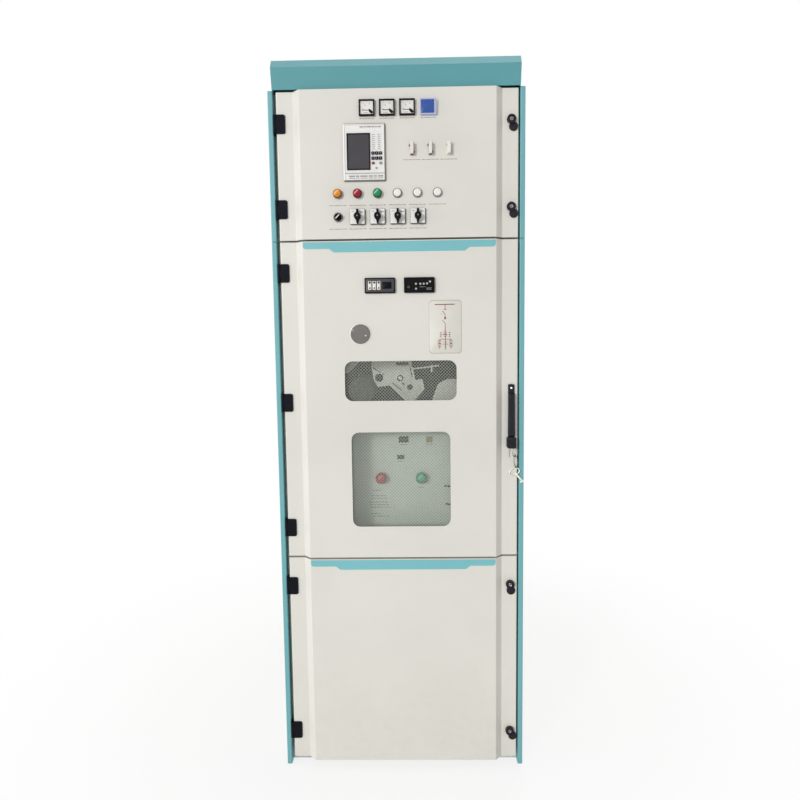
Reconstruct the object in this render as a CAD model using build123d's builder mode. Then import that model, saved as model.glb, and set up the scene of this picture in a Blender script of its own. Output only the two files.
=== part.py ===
from build123d import *
import os

# Metal-clad switchgear panel for an outgoing feeder: a folded sheet-steel cabinet with an instrument
# door over a breaker door over a cable door, and a withdrawable breaker on a truck behind the windows.
# X runs along the front, Y from front to back and Z up. The origin is the centre of the base.

# Cabinet
CABINET_WIDTH = 800
CABINET_DEPTH = 1500
BODY_HEIGHT = 2213
INSTRUMENT_STOREY = 460
BREAKER_STOREY = 1025
SHEET = 2
CUT_OVERRUN = 1
SEAM = 2

# Base frame of folded channel, with foundation bolt holes
BASE_HEIGHT = 40
BASE_FLANGE = 50
BASE_SHEET = 3
ANCHOR_RADIUS = 7
ANCHOR_INSET = 28
FLOOR_NOTCH = 60

# Walls
PAN_FOLD = 20
REAR_SET_IN = 9
REAR_SEAM_Z = 1001
POST_WIDTH = 16
POST_DEPTH = 34
POST_CORNER_RADIUS = 3
CROSSBAR_HEIGHT = 40
CROSSBAR_DEPTH = 30
INSTRUMENT_DEPTH = 430
BREAKER_DEPTH = 800

# Fascia over the instrument door
FASCIA_HEIGHT = 87
FASCIA_DEPTH = 50
FASCIA_FOOT_REACH = 8
FASCIA_BEND_REACH = 24
FASCIA_BEND_DROP = 26
FASCIA_TOP_REACH = 6

# Pressure relief flaps on the roof
FLAP_COUNT = 3
FLAP_RISE = 14
FLAP_GAP = 80
FLAP_SIDE_INSET = 80
FLAP_FRONT_INSET = 136
FLAP_REAR_INSET = 90

# Doors: flat flanges left and right, and a raised centre panel with sloped sides
HINGE_GAP = 10
LATCH_GAP = 5
DOOR_GAP = 6
DOOR_TOP_GAP = 5
DOOR_FOOT_Z = 28
DOOR_RETURN = 20
HINGE_FLANGE = 54
LATCH_FLANGE = 51
PANEL_RAISE = 22
SLOPE_RUN = 20
BEND_RADIUS = 4

# Hinges
HINGE_HEIGHT = 58
HINGE_LEAF_WIDTH = 28
HINGE_LEAF_SHEET = 4
HINGE_LEAF_CORNER = 6
KNUCKLE_RADIUS = 4.5
KNUCKLE_LENGTH = 28
KNUCKLE_GAP = 0.5
PIN_RADIUS = 2.5
PIN_CLEARANCE = 0.08
PIN_LEAD = 1
POST_LEAF_DEPTH = 26
HINGE_INSET = 96

# Cylinder locks with dust covers, each swung aside by its own angle from straight down
LOCK_EDGE = 23
LOCK_INSET = 94
LOCK_RADIUS = 14
LOCK_REACH = 11
LOCK_RIM = 2
LOCK_BODY_RADIUS = 9
LOCK_BODY_LENGTH = 24
LOCK_NUT_RADIUS = 14
LOCK_NUT_HEIGHT = 6
KEYWAY_WIDTH = 3
KEYWAY_LENGTH = 12
KEYWAY_DEPTH = 4
COVER_THICKNESS = 4
COVER_THROW = 22
INSTRUMENT_COVER_ANGLES = [22, 18]
CABLE_COVER_ANGLES = [27, 8]

# Square panel meters and the digital meter beside them
HOLE_CLEARANCE = 0.5
METER_SIZE = 48
METER_REACH = 9
METER_BODY = 44
METER_BODY_DEPTH = 40
METER_WINDOW = 40
METER_WINDOW_DEPTH = 5
DIAL_SHEET = 1
METER_PITCH = 62
METER_FIRST_X = -90
METER_RISE = 393
METER_COUNT = 3
DIGITAL_METER_X = 98

# Protection relay
RELAY_WIDTH = 131
RELAY_HEIGHT = 173
RELAY_REACH = 9
RELAY_CORNER = 4
RELAY_BEVEL = 4
RELAY_RIM = 5
RELAY_RIM_DEPTH = 2
RELAY_BODY_WIDTH = 120
RELAY_BODY_HEIGHT = 162
RELAY_BODY_DEPTH = 85
RELAY_X = -99.5
RELAY_RISE = 260
SCREEN_WIDTH = 72
SCREEN_HEIGHT = 110
SCREEN_SHEET = 1
SCREEN_SHIFT_X = -17.5
SCREEN_SHIFT_Z = 2

# Trip link plates
LINK_FIRST_X = 47
LINK_PITCH = 57
LINK_COUNT = 3
LINK_RISE = 270
LINK_WIDTH = 10
LINK_HEIGHT = 39
LINK_BASE_REACH = 6
LINK_POST_RADIUS = 4
LINK_POST_SPREAD = 20
LINK_POST_REACH = 8
LINK_BAR_WIDTH = 10
LINK_BAR_HEIGHT = 35
LINK_BAR_THICKNESS = 4

# Indicator lamps and the selector switch on the same kind of bezel
LAMP_FIRST_X = -185
LAMP_PITCH = 62
LAMP_RISE = 137
BEZEL_RADIUS = 14.5
BEZEL_REACH = 6
BEZEL_CHAMFER = 1.5
LAMP_BODY_RADIUS = 11
LAMP_BODY_DEPTH = 46
LENS_RADIUS = 11.5
LENS_CLEARANCE = 0.2
LENS_SEAT = 3
LENS_RISE = 7
LENS_ROUND = 3
CAP_RADIUS = 14.2
SELECTOR_X = -185
SWITCH_RISE = 66
SELECTOR_KNOB_RADIUS = 11
SELECTOR_KNOB_REACH = 8
SELECTOR_GRIP_LENGTH = 20
SELECTOR_GRIP_WIDTH = 7
SELECTOR_GRIP_REACH = 11
SELECTOR_ANGLE = 45

# Cam switches
CAM_FIRST_X = -123.5
CAM_PITCH = 62.5
CAM_COUNT = 4
CAM_PLATE = 48
CAM_PLATE_REACH = 8
CAM_PLATE_CORNER = 3
CAM_PLATE_BEVEL = 2
CAM_BODY = 40
CAM_BODY_DEPTH = 60
CAM_HUB_RADIUS = 10.5
CAM_HUB_REACH = 23
CAM_HUB_ROUND = 1.5
CAM_DIMPLE_RADIUS = 2.5
CAM_DIMPLE_DEPTH = 1.5
CAM_GRIP_LENGTH = 43
CAM_GRIP_WIDTH = 14
CAM_GRIP_NOSE = 6.5
CAM_GRIP_TAIL = 4.5
CAM_GRIP_REACH = 16
KNOB_CLEARANCE = 0.3

# Breaker door fittings
STRIP_SHEET = 1
STRIP_EDGE_GAP = 3
STRIP_SIDE_GAP = 2
STRIP_END_HEIGHT = 21
STRIP_HEIGHT = 32
STRIP_STEP_INSET = 82
STRIP_STEP_RUN = 14
STRIP_CORNER = 10
CONTROLLER_WIDTH = 96
CONTROLLER_HEIGHT = 48
CONTROLLER_REACH = 8
CONTROLLER_CORNER = 3
CONTROLLER_BODY_WIDTH = 90
CONTROLLER_BODY_HEIGHT = 42
CONTROLLER_BODY_DEPTH = 70
CONTROLLER_POCKET_DEPTH = 2
CONTROLLER_RIM = 4
CONTROLLER_DROP = 140
CONTROLLER_X = -57.5
CONTROLLER_PITCH = 123.5
TRIP_COVER_X = -122
TRIP_COVER_DROP = 291
TRIP_COVER_RADIUS = 31
TRIP_COVER_REACH = 5
TRIP_COVER_CHAMFER = 2
TRIP_HOLE_RADIUS = 20
WINDOW_CORNER = 25
UPPER_WINDOW_WIDTH = 356
UPPER_WINDOW_HEIGHT = 127
UPPER_WINDOW_DROP = 441
UPPER_WINDOW_X = 4
LOWER_WINDOW_WIDTH = 318
LOWER_WINDOW_HEIGHT = 310
LOWER_WINDOW_DROP = 761
LOWER_WINDOW_X = 2
PANE_LAP = 18
PANE_THICKNESS = 6
MESH_ROOM = 4
CLAMP_WIDTH = 30
CLAMP_LAP = 3

# Lift handle on the breaker door
HANDLE_EDGE = 21
HANDLE_DROP = 560
HANDLE_WIDTH = 20
HANDLE_HEIGHT = 206
HANDLE_BASE_REACH = 5
HANDLE_CORNER = 4
HANDLE_LUG_WIDTH = 8
HANDLE_LUG_RADIUS = 4.5
HANDLE_LOCK_WIDTH = 30
HANDLE_LOCK_HEIGHT = 36
HANDLE_LOCK_REACH = 20
HANDLE_LOCK_CORNER = 6
HANDLE_LOCK_BARREL = 9
HANDLE_LOCK_BARREL_REACH = 4
LEVER_GAP = 1
LEVER_FOOT_GAP = 2
LEVER_HEAD_WIDTH = 20
LEVER_FOOT_WIDTH = 23
LEVER_FOOT_CORNER = 6
LEVER_THICKNESS = 15
LEVER_WALL = 2
LEVER_BEVEL = 5
LEVER_SLOT_DROP = 12
LEVER_PIN_RADIUS = 3
LEVER_PIN_INSET = 36

# Breaker truck behind the breaker door, drawn forward to its test position
RAIL_WIDTH = 34
RAIL_HEIGHT = 22
RAIL_SHEET = 3
RAIL_FRONT = 60
TRUCK_FRONT = 70
TRUCK_SIDE_ROOM = 104
TRUCK_LENGTH = 480
TRUCK_TOP_RISE = 50
TRUCK_FOLD = 40
WHEEL_RADIUS = 20
WHEEL_WIDTH = 18
WHEEL_GAP = 4
WHEEL_AXLE_RADIUS = 6
WHEEL_INSET = 60
WHEEL_CLEARANCE = 0.3
HOUSING_INSET = 26
HOUSING_HEIGHT = 620
HOUSING_DEPTH = 215
PANEL_FRONT = 80
PANEL_FOLD = 4
PANEL_HEIGHT = 375
BUTTON_RISE = 175
BUTTON_SPREAD = 135
BUTTON_RADIUS = 19
BUTTON_REACH = 11
BUTTON_TRAVEL = 4
BUTTON_CROWN = 2
BUTTON_STEM_RADIUS = 9
BUTTON_STEM_LENGTH = 30
BUTTON_HOLE_CLEARANCE = 0.1
SPRING_FLAG_X = 9.5
SPRING_FLAG_RISE = 129
SPRING_FLAG_WIDTH = 33
SPRING_FLAG_HEIGHT = 21
COUNTER_X = -1
COUNTER_RISE = 69
COUNTER_WIDTH = 24
COUNTER_HEIGHT = 14
STATE_FLAG_X = 96
STATE_FLAG_RISE = 128
STATE_FLAG_WIDTH = 21
STATE_FLAG_HEIGHT = 20
INDICATOR_LAP = 4
INDICATOR_DEPTH = 12

# Spring mechanism over the breaker's panel: its cast plate, and a side plate and an arm beside it
MECHANISM_RISE = 510
MECHANISM_WIDTH = 178
MECHANISM_HEIGHT = 156
MECHANISM_SHEET = 6
MECHANISM_ROUND = 5
MECHANISM_STANDOFF = 22
MECHANISM_STANDOFF_RADIUS = 8
MECHANISM_OUTLINE_SHARES = [
    (-0.54, 0.50),
    (-0.54, 0.22),
    (-0.50, -0.04),
    (-0.42, -0.19),
    (-0.21, -0.16),
    (-0.02, -0.36),
    (0.10, -0.50),
    (0.26, -0.50),
    (0.46, -0.25),
    (0.42, -0.02),
    (0.28, -0.05),
    (0.22, 0.26),
    (0.22, 0.50),
]
MECHANISM_POST_SHARES = [(-0.45, 0.40), (0.12, 0.42), (0.18, -0.42)]
WIDE_HOLE_RADIUS = 14
WIDE_HOLE_SHARES = (-0.40, 0.01)
SMALL_HOLE_RADIUS = 10
SMALL_HOLE_SHARES = (0.18, -0.20)
HOLE_RING_WIDTH = 4
HOLE_RING_REACH = 3
SLIT_LENGTH = 44
SLIT_WIDTH = 9
SLIT_SHARES = (0.045, 0.31)
SIDE_PLATE_X = 105
SIDE_PLATE_DROP = 80
SIDE_PLATE_WIDTH = 85
SIDE_PLATE_HEIGHT = 75
SIDE_PLATE_OUTLINE_SHARES = [(0, 0), (0.26, 0.77), (0.62, 1), (1, 1), (1, 0)]
SIDE_PLATE_POST_SHARES = (0.65, 0.45)
ARM_X = -165
ARM_RISE = 45
ARM_LENGTH = 70
ARM_WIDTH = 24
ARM_ANGLE = 42
BRACKET_REACH = 10
RIB_WIDTH = 4
RIB_LENGTH = 48
RIB_ANGLE = 11
RIB_SHARES = (0.25, 0.093)
BAR_WIDTH = 5
BAR_LENGTH = 90
BAR_ANGLE = 6.5
BAR_SHARES = (0.48, 0.228)
LEG_WIDTH = 5
LEG_LENGTH = 24
LEG_SHARES = (0.595, 0.20)
HUB_RADIUS = 14
HUB_REACH = 6
HUB_RECESS_RADIUS = 11
HUB_RECESS_DEPTH = 4
HUB_BOLT_RADIUS = 6.5
HUB_BOLT_REACH = 8

# Places that follow from the sizes above
HALF_WIDTH = CABINET_WIDTH / 2
FACE = CABINET_DEPTH / 2
POST_BACK = FACE - POST_DEPTH
COVER_REAR = FACE - REAR_SET_IN
WALL_REAR = COVER_REAR - PAN_FOLD
FLANGE_INNER = HALF_WIDTH - PAN_FOLD
SHELF_WIDTH = CABINET_WIDTH - 2 * SHEET
BASE_DEPTH = FACE + POST_BACK
BASE_CENTRE_Y = (FACE - POST_BACK) / 2
FLOOR_Z = BASE_HEIGHT + SHEET
ROOF_UNDER = BODY_HEIGHT - SHEET
UPPER_SEAM_Z = BODY_HEIGHT - INSTRUMENT_STOREY
LOWER_SEAM_Z = UPPER_SEAM_Z - BREAKER_STOREY
FASCIA_WIDTH = CABINET_WIDTH - 2 * POST_WIDTH
FLAP_WIDTH = CABINET_WIDTH - 2 * FLAP_SIDE_INSET
FLAP_PITCH = (FACE + POST_BACK - FLAP_FRONT_INSET - FLAP_REAR_INSET + FLAP_GAP) / FLAP_COUNT
FLAP_LENGTH = FLAP_PITCH - FLAP_GAP
FLAP_FIRST_Y = FLAP_FRONT_INSET - POST_BACK + FLAP_LENGTH / 2
INSTRUMENT_SHELF_Z = UPPER_SEAM_Z + CROSSBAR_HEIGHT / 2
BREAKER_SHELF_Z = LOWER_SEAM_Z + CROSSBAR_HEIGHT / 2
DOOR_LEFT = POST_WIDTH - HALF_WIDTH + HINGE_GAP
DOOR_RIGHT = HALF_WIDTH - POST_WIDTH - LATCH_GAP
PANEL_LEFT = DOOR_LEFT + HINGE_FLANGE + SLOPE_RUN
PANEL_RIGHT = DOOR_RIGHT - LATCH_FLANGE - SLOPE_RUN
PIN_X = DOOR_LEFT - HINGE_GAP / 2
PIN_FORWARD = FACE + PIN_LEAD
LOCK_X = DOOR_RIGHT - LOCK_EDGE
HANDLE_X = DOOR_RIGHT - HANDLE_EDGE
INSTRUMENT_DOOR_FOOT = UPPER_SEAM_Z + DOOR_GAP / 2
INSTRUMENT_DOOR_HEAD = BODY_HEIGHT - DOOR_TOP_GAP
BREAKER_DOOR_FOOT = LOWER_SEAM_Z + DOOR_GAP / 2
BREAKER_DOOR_HEAD = UPPER_SEAM_Z - DOOR_GAP / 2
CABLE_DOOR_HEAD = LOWER_SEAM_Z - DOOR_GAP / 2
PANEL_FACE = FACE + PANEL_RAISE
PANEL_INNER = PANEL_FACE - SHEET
METER_Z = INSTRUMENT_DOOR_FOOT + METER_RISE
RELAY_Z = INSTRUMENT_DOOR_FOOT + RELAY_RISE
LINK_Z = INSTRUMENT_DOOR_FOOT + LINK_RISE
LAMP_Z = INSTRUMENT_DOOR_FOOT + LAMP_RISE
SWITCH_Z = INSTRUMENT_DOOR_FOOT + SWITCH_RISE
CONTROLLER_Z = BREAKER_DOOR_HEAD - CONTROLLER_DROP
TRIP_COVER_Z = BREAKER_DOOR_HEAD - TRIP_COVER_DROP
UPPER_WINDOW_Z = BREAKER_DOOR_HEAD - UPPER_WINDOW_DROP
LOWER_WINDOW_Z = BREAKER_DOOR_HEAD - LOWER_WINDOW_DROP
HANDLE_Z = BREAKER_DOOR_HEAD - HANDLE_DROP
RAIL_TOP = BREAKER_SHELF_Z + SHEET + RAIL_SHEET
TRUCK_WIDTH = CABINET_WIDTH - 2 * TRUCK_SIDE_ROOM
RAIL_INNER_X = TRUCK_WIDTH / 2 + WHEEL_GAP
HOUSING_WIDTH = TRUCK_WIDTH - 2 * HOUSING_INSET
TRUCK_TOP = BREAKER_SHELF_Z + SHEET + TRUCK_TOP_RISE
BREAKER_FACE = FACE - PANEL_FRONT
HOUSING_REAR = BREAKER_FACE - PANEL_FOLD - HOUSING_DEPTH
BUTTON_Z = TRUCK_TOP + BUTTON_RISE
MECHANISM_Z = TRUCK_TOP + MECHANISM_RISE

os.makedirs("parts", exist_ok=True)


def front_plane(x, forward, z):
    """A plane that faces the viewer, with its origin at this place."""
    return Plane(origin=(x, -forward, z), x_dir=(1, 0, 0), z_dir=(0, -1, 0))


def add_tray(plane, width, height, fold):
    """Adds a sheet whose four edges are folded along the plane's normal."""
    with BuildSketch(plane) as outside:
        Rectangle(width, height)
    extrude(outside.sketch, amount=fold)
    with BuildSketch(plane.offset(SHEET)) as inside:
        Rectangle(width - 2 * SHEET, height - 2 * SHEET)
    extrude(inside.sketch, amount=fold, mode=Mode.SUBTRACT)


def add_plate(low, high):
    """Adds a plain sheet between two opposite corners."""
    size = [b - a for a, b in zip(low, high)]
    with Locations((Vector(*low) + Vector(*high)) / 2):
        Box(*size)


def row(first, pitch, count):
    """The places of a row of like fittings."""
    return [first + pitch * n for n in range(count)]


METER_XS = row(METER_FIRST_X, METER_PITCH, METER_COUNT)
LINK_XS = row(LINK_FIRST_X, LINK_PITCH, LINK_COUNT)
CAM_XS = row(CAM_FIRST_X, CAM_PITCH, CAM_COUNT)
CONTROLLER_XS = row(CONTROLLER_X, CONTROLLER_PITCH, 2)
LAMP_COLOURS = ["amber", "red", "green", "white", "white", "white"]
LAMP_XS = row(LAMP_FIRST_X, LAMP_PITCH, len(LAMP_COLOURS))
BUTTON_XS = row(-BUTTON_SPREAD / 2, BUTTON_SPREAD, 2)
INSTRUMENT_HINGES = [INSTRUMENT_DOOR_FOOT + HINGE_INSET, INSTRUMENT_DOOR_HEAD - HINGE_INSET]
BREAKER_HINGES = [
    BREAKER_DOOR_FOOT + HINGE_INSET,
    (BREAKER_DOOR_FOOT + BREAKER_DOOR_HEAD) / 2,
    BREAKER_DOOR_HEAD - HINGE_INSET,
]
CABLE_HINGES = [DOOR_FOOT_Z + HINGE_INSET, CABLE_DOOR_HEAD - HINGE_INSET]
INSTRUMENT_LOCKS = [INSTRUMENT_DOOR_FOOT + LOCK_INSET, INSTRUMENT_DOOR_HEAD - LOCK_INSET]
CABLE_LOCKS = [DOOR_FOOT_Z + LOCK_INSET, CABLE_DOOR_HEAD - LOCK_INSET]
INDICATORS = [
    (SPRING_FLAG_X, SPRING_FLAG_RISE, SPRING_FLAG_WIDTH, SPRING_FLAG_HEIGHT),
    (COUNTER_X, COUNTER_RISE, COUNTER_WIDTH, COUNTER_HEIGHT),
    (STATE_FLAG_X, STATE_FLAG_RISE, STATE_FLAG_WIDTH, STATE_FLAG_HEIGHT),
]

# Base frame: a ring of channel open to the inside, drilled for four foundation bolts
with BuildPart() as base_frame:
    with BuildSketch():
        with Locations((0, BASE_CENTRE_Y)):
            Rectangle(CABINET_WIDTH, BASE_DEPTH)
            Rectangle(CABINET_WIDTH - 2 * BASE_FLANGE, BASE_DEPTH - 2 * BASE_FLANGE, mode=Mode.SUBTRACT)
    extrude(amount=BASE_HEIGHT)
    with BuildSketch(Plane.XY.offset(BASE_SHEET)):
        with Locations((0, BASE_CENTRE_Y)):
            Rectangle(CABINET_WIDTH - 2 * BASE_SHEET, BASE_DEPTH - 2 * BASE_SHEET)
    extrude(amount=BASE_HEIGHT - 2 * BASE_SHEET, mode=Mode.SUBTRACT)
    with BuildSketch():
        with Locations((0, BASE_CENTRE_Y)):
            with GridLocations(CABINET_WIDTH - 2 * ANCHOR_INSET, BASE_DEPTH - 2 * ANCHOR_INSET, 2, 2):
                Circle(ANCHOR_RADIUS)
    extrude(amount=BASE_HEIGHT, mode=Mode.SUBTRACT)
base_frame.part.label = "base_frame"
export_step(base_frame.part, "parts/base_frame.step")

# Floor plate, notched at its corners to leave room for the foundation bolts
with BuildPart() as floor_plate:
    floor_length = WALL_REAR + POST_BACK - 2 * SHEET
    with BuildSketch(Plane.XY.offset(FLOOR_Z)):
        with Locations((0, (WALL_REAR - POST_BACK) / 2)):
            Rectangle(SHELF_WIDTH, floor_length)
            with GridLocations(SHELF_WIDTH, floor_length, 2, 2):
                Rectangle(2 * FLOOR_NOTCH, 2 * FLOOR_NOTCH, mode=Mode.SUBTRACT)
    extrude(amount=SHEET)
floor_plate.part.label = "floor_plate"
export_step(floor_plate.part, "parts/floor_plate.step")

# Side walls: one folded pan a storey, with a seam between the storeys
STOREYS = [
    (BASE_HEIGHT, LOWER_SEAM_Z - SEAM / 2),
    (LOWER_SEAM_Z + SEAM / 2, UPPER_SEAM_Z - SEAM / 2),
    (UPPER_SEAM_Z + SEAM / 2, ROOF_UNDER),
]
with BuildPart() as left_side_wall:
    for low, high in STOREYS:
        middle = (-HALF_WIDTH, (WALL_REAR - POST_BACK) / 2, (low + high) / 2)
        pan_plane = Plane(origin=middle, x_dir=(0, 1, 0), z_dir=(1, 0, 0))
        add_tray(pan_plane, WALL_REAR + POST_BACK, high - low, PAN_FOLD)
left_side_wall.part.label = "left_side_wall"
export_step(left_side_wall.part, "parts/left_side_wall.step")

with BuildPart() as right_side_wall:
    mirror(left_side_wall.part, about=Plane.YZ)
right_side_wall.part.label = "right_side_wall"
export_step(right_side_wall.part, "parts/right_side_wall.step")

# Rear covers: an upper and a lower folded pan, bolted to the rear folds of the side walls
with BuildPart() as rear_covers:
    for low, high in [(FLOOR_Z, REAR_SEAM_Z - SEAM / 2), (REAR_SEAM_Z + SEAM / 2, ROOF_UNDER)]:
        cover_plane = front_plane(0, -COVER_REAR, (low + high) / 2)
        add_tray(cover_plane, SHELF_WIDTH, high - low, PAN_FOLD)
rear_covers.part.label = "rear_covers"
export_step(rear_covers.part, "parts/rear_covers.step")

# Roof sheet
with BuildPart() as roof_panel:
    add_plate((-HALF_WIDTH, -POST_BACK, ROOF_UNDER), (HALF_WIDTH, FACE, BODY_HEIGHT))
roof_panel.part.label = "roof_panel"
export_step(roof_panel.part, "parts/roof_panel.step")

# Pressure relief flaps: shallow lids that lie on the roof
with BuildPart() as relief_flaps:
    for y in row(FLAP_FIRST_Y, FLAP_PITCH, FLAP_COUNT):
        lid_top = (0, y, BODY_HEIGHT + FLAP_RISE)
        add_tray(Plane(origin=lid_top, x_dir=(1, 0, 0), z_dir=(0, 0, -1)), FLAP_WIDTH, FLAP_LENGTH, FLAP_RISE)
relief_flaps.part.label = "relief_flaps"
export_step(relief_flaps.part, "parts/relief_flaps.step")

# Corner posts: channels open to the back, an upper and a lower length on each side
with BuildPart() as corner_posts:
    for low, high in [(0, UPPER_SEAM_Z - SEAM / 2), (UPPER_SEAM_Z + SEAM / 2, BODY_HEIGHT)]:
        with BuildSketch(Plane.XY.offset(low)) as post_section:
            with Locations((HALF_WIDTH - POST_WIDTH / 2, -FACE + POST_DEPTH / 2)):
                Rectangle(POST_WIDTH, POST_DEPTH)
            fillet(post_section.vertices().group_by(Axis.Y)[0], POST_CORNER_RADIUS)
            with Locations((HALF_WIDTH - POST_WIDTH / 2, -FACE + POST_DEPTH / 2 + SHEET)):
                Rectangle(POST_WIDTH - 2 * SHEET, POST_DEPTH, mode=Mode.SUBTRACT)
        extrude(amount=high - low)
    mirror(about=Plane.YZ)
corner_posts.part.label = "corner_posts"
export_step(corner_posts.part, "parts/corner_posts.step")

# Fascia: a folded box that leans forward to a bend and back over its top, open underneath
with BuildPart() as top_fascia:
    fascia_top = BODY_HEIGHT + FASCIA_HEIGHT
    with BuildSketch(Plane.YZ.offset(-FASCIA_WIDTH / 2)):
        with BuildLine():
            Polyline(
                (-FACE + FASCIA_DEPTH, BODY_HEIGHT),
                (-FACE - FASCIA_FOOT_REACH, BODY_HEIGHT),
                (-FACE - FASCIA_BEND_REACH, fascia_top - FASCIA_BEND_DROP),
                (-FACE - FASCIA_TOP_REACH, fascia_top),
                (-FACE + FASCIA_DEPTH, fascia_top),
                close=True,
            )
        make_face()
    extrude(amount=FASCIA_WIDTH)
    offset(amount=-SHEET, openings=top_fascia.faces().sort_by(Axis.Z)[0])
top_fascia.part.label = "top_fascia"
export_step(top_fascia.part, "parts/top_fascia.step")

# Crossbars behind the gaps over and between the doors
with BuildPart() as front_crossbars:
    for z in [BREAKER_SHELF_Z, INSTRUMENT_SHELF_Z, ROOF_UNDER]:
        web_centre = (0, -POST_BACK, z - CROSSBAR_HEIGHT / 2)
        bar_plane = Plane(origin=web_centre, x_dir=(1, 0, 0), z_dir=(0, 1, 0))
        add_tray(bar_plane, 2 * FLANGE_INNER, CROSSBAR_HEIGHT, CROSSBAR_DEPTH)
front_crossbars.part.label = "front_crossbars"
export_step(front_crossbars.part, "parts/front_crossbars.step")

# Shelves that part the instrument, breaker and cable compartments
with BuildPart() as compartment_shelves:
    for z in [BREAKER_SHELF_Z, INSTRUMENT_SHELF_Z]:
        shelf_low = (-SHELF_WIDTH / 2, SHEET - POST_BACK, z)
        shelf_high = (SHELF_WIDTH / 2, BREAKER_DEPTH - FACE + SHEET, z + SHEET)
        add_plate(shelf_low, shelf_high)
compartment_shelves.part.label = "compartment_shelves"
export_step(compartment_shelves.part, "parts/compartment_shelves.step")

# Back walls of the breaker and instrument compartments
with BuildPart() as compartment_backs:
    for depth, low, high in [
        (BREAKER_DEPTH, BREAKER_SHELF_Z + SHEET, INSTRUMENT_SHELF_Z),
        (INSTRUMENT_DEPTH, INSTRUMENT_SHELF_Z + SHEET, ROOF_UNDER),
    ]:
        add_plate((-FLANGE_INNER, depth - FACE, low), (FLANGE_INNER, depth - FACE + SHEET, high))
compartment_backs.part.label = "compartment_backs"
export_step(compartment_backs.part, "parts/compartment_backs.step")

# Truck rails: angles on the breaker shelf
with BuildPart() as truck_rails:
    with BuildSketch(front_plane(RAIL_INNER_X, FACE - RAIL_FRONT, BREAKER_SHELF_Z + SHEET)):
        Rectangle(RAIL_WIDTH, RAIL_SHEET, align=(Align.MIN, Align.MIN))
        with Locations((RAIL_WIDTH, 0)):
            Rectangle(RAIL_SHEET, RAIL_HEIGHT, align=(Align.MAX, Align.MIN))
    extrude(amount=RAIL_FRONT - BREAKER_DEPTH)
    mirror(about=Plane.YZ)
truck_rails.part.label = "truck_rails"
export_step(truck_rails.part, "parts/truck_rails.step")

# Fixed hinge halves: a leaf on the inside of the post, two knuckles and the pin through them
with BuildPart() as post_hinges:
    for z in INSTRUMENT_HINGES + BREAKER_HINGES + CABLE_HINGES:
        with BuildSketch(Plane.XY.offset(z - HINGE_HEIGHT / 2)):
            with Locations((PIN_X, -PIN_FORWARD)):
                Circle(KNUCKLE_RADIUS)
            with Locations((POST_WIDTH - HALF_WIDTH, -PIN_FORWARD)):
                Rectangle(HINGE_GAP / 2, SHEET + PIN_LEAD, align=(Align.MIN, Align.MIN))
                Rectangle(SHEET, POST_LEAF_DEPTH, align=(Align.MIN, Align.MIN))
        extrude(amount=HINGE_HEIGHT)
        with BuildSketch(Plane.XY.offset(z - KNUCKLE_LENGTH / 2 - KNUCKLE_GAP)):
            with Locations((PIN_X, -PIN_FORWARD)):
                Circle(KNUCKLE_RADIUS + KNUCKLE_GAP)
        extrude(amount=KNUCKLE_LENGTH + 2 * KNUCKLE_GAP, mode=Mode.SUBTRACT)
        with BuildSketch(Plane.XY.offset(z - HINGE_HEIGHT / 2)):
            with Locations((PIN_X, -PIN_FORWARD)):
                Circle(PIN_RADIUS)
        extrude(amount=HINGE_HEIGHT)
post_hinges.part.label = "post_hinges"
export_step(post_hinges.part, "parts/post_hinges.step")


def door_pan(foot, head):
    """A folded door: the bent section runs its whole height, with the ends closed and the back open."""
    with BuildPart() as pan:
        with BuildSketch(Plane.XY.offset(foot)) as section:
            with BuildLine():
                Polyline(
                    (DOOR_LEFT, DOOR_RETURN - FACE),
                    (DOOR_LEFT, -FACE),
                    (DOOR_LEFT + HINGE_FLANGE, -FACE),
                    (PANEL_LEFT, -PANEL_FACE),
                    (PANEL_RIGHT, -PANEL_FACE),
                    (DOOR_RIGHT - LATCH_FLANGE, -FACE),
                    (DOOR_RIGHT, -FACE),
                    (DOOR_RIGHT, DOOR_RETURN - FACE),
                    close=True,
                )
            make_face()
            bends = section.vertices().group_by(Axis.Y)
            fillet(bends[0] + bends[1], BEND_RADIUS)
        extrude(amount=head - foot)
        offset(amount=-SHEET, openings=pan.faces().sort_by(Axis.Y)[-1])
    return pan.part


def door_hinges(heights):
    """The leaves on a door's flange, each with its bored knuckle round the fixed pin."""
    with BuildPart() as leaves:
        for z in heights:
            with BuildSketch(front_plane(DOOR_LEFT, FACE, z)) as leaf:
                Rectangle(HINGE_LEAF_WIDTH, HINGE_HEIGHT, align=(Align.MIN, Align.CENTER))
                fillet(leaf.vertices().group_by(Axis.X)[-1], HINGE_LEAF_CORNER)
            extrude(amount=HINGE_LEAF_SHEET)
            with BuildSketch(Plane.XY.offset(z - KNUCKLE_LENGTH / 2)):
                with Locations((PIN_X, -PIN_FORWARD)):
                    Circle(KNUCKLE_RADIUS)
                with Locations((PIN_X, -FACE - HINGE_LEAF_SHEET)):
                    Rectangle(HINGE_GAP, HINGE_LEAF_SHEET, align=(Align.MIN, Align.MIN))
                with Locations((PIN_X, -PIN_FORWARD)):
                    Circle(PIN_RADIUS + PIN_CLEARANCE, mode=Mode.SUBTRACT)
            extrude(amount=KNUCKLE_LENGTH)
    return leaves.part


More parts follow.
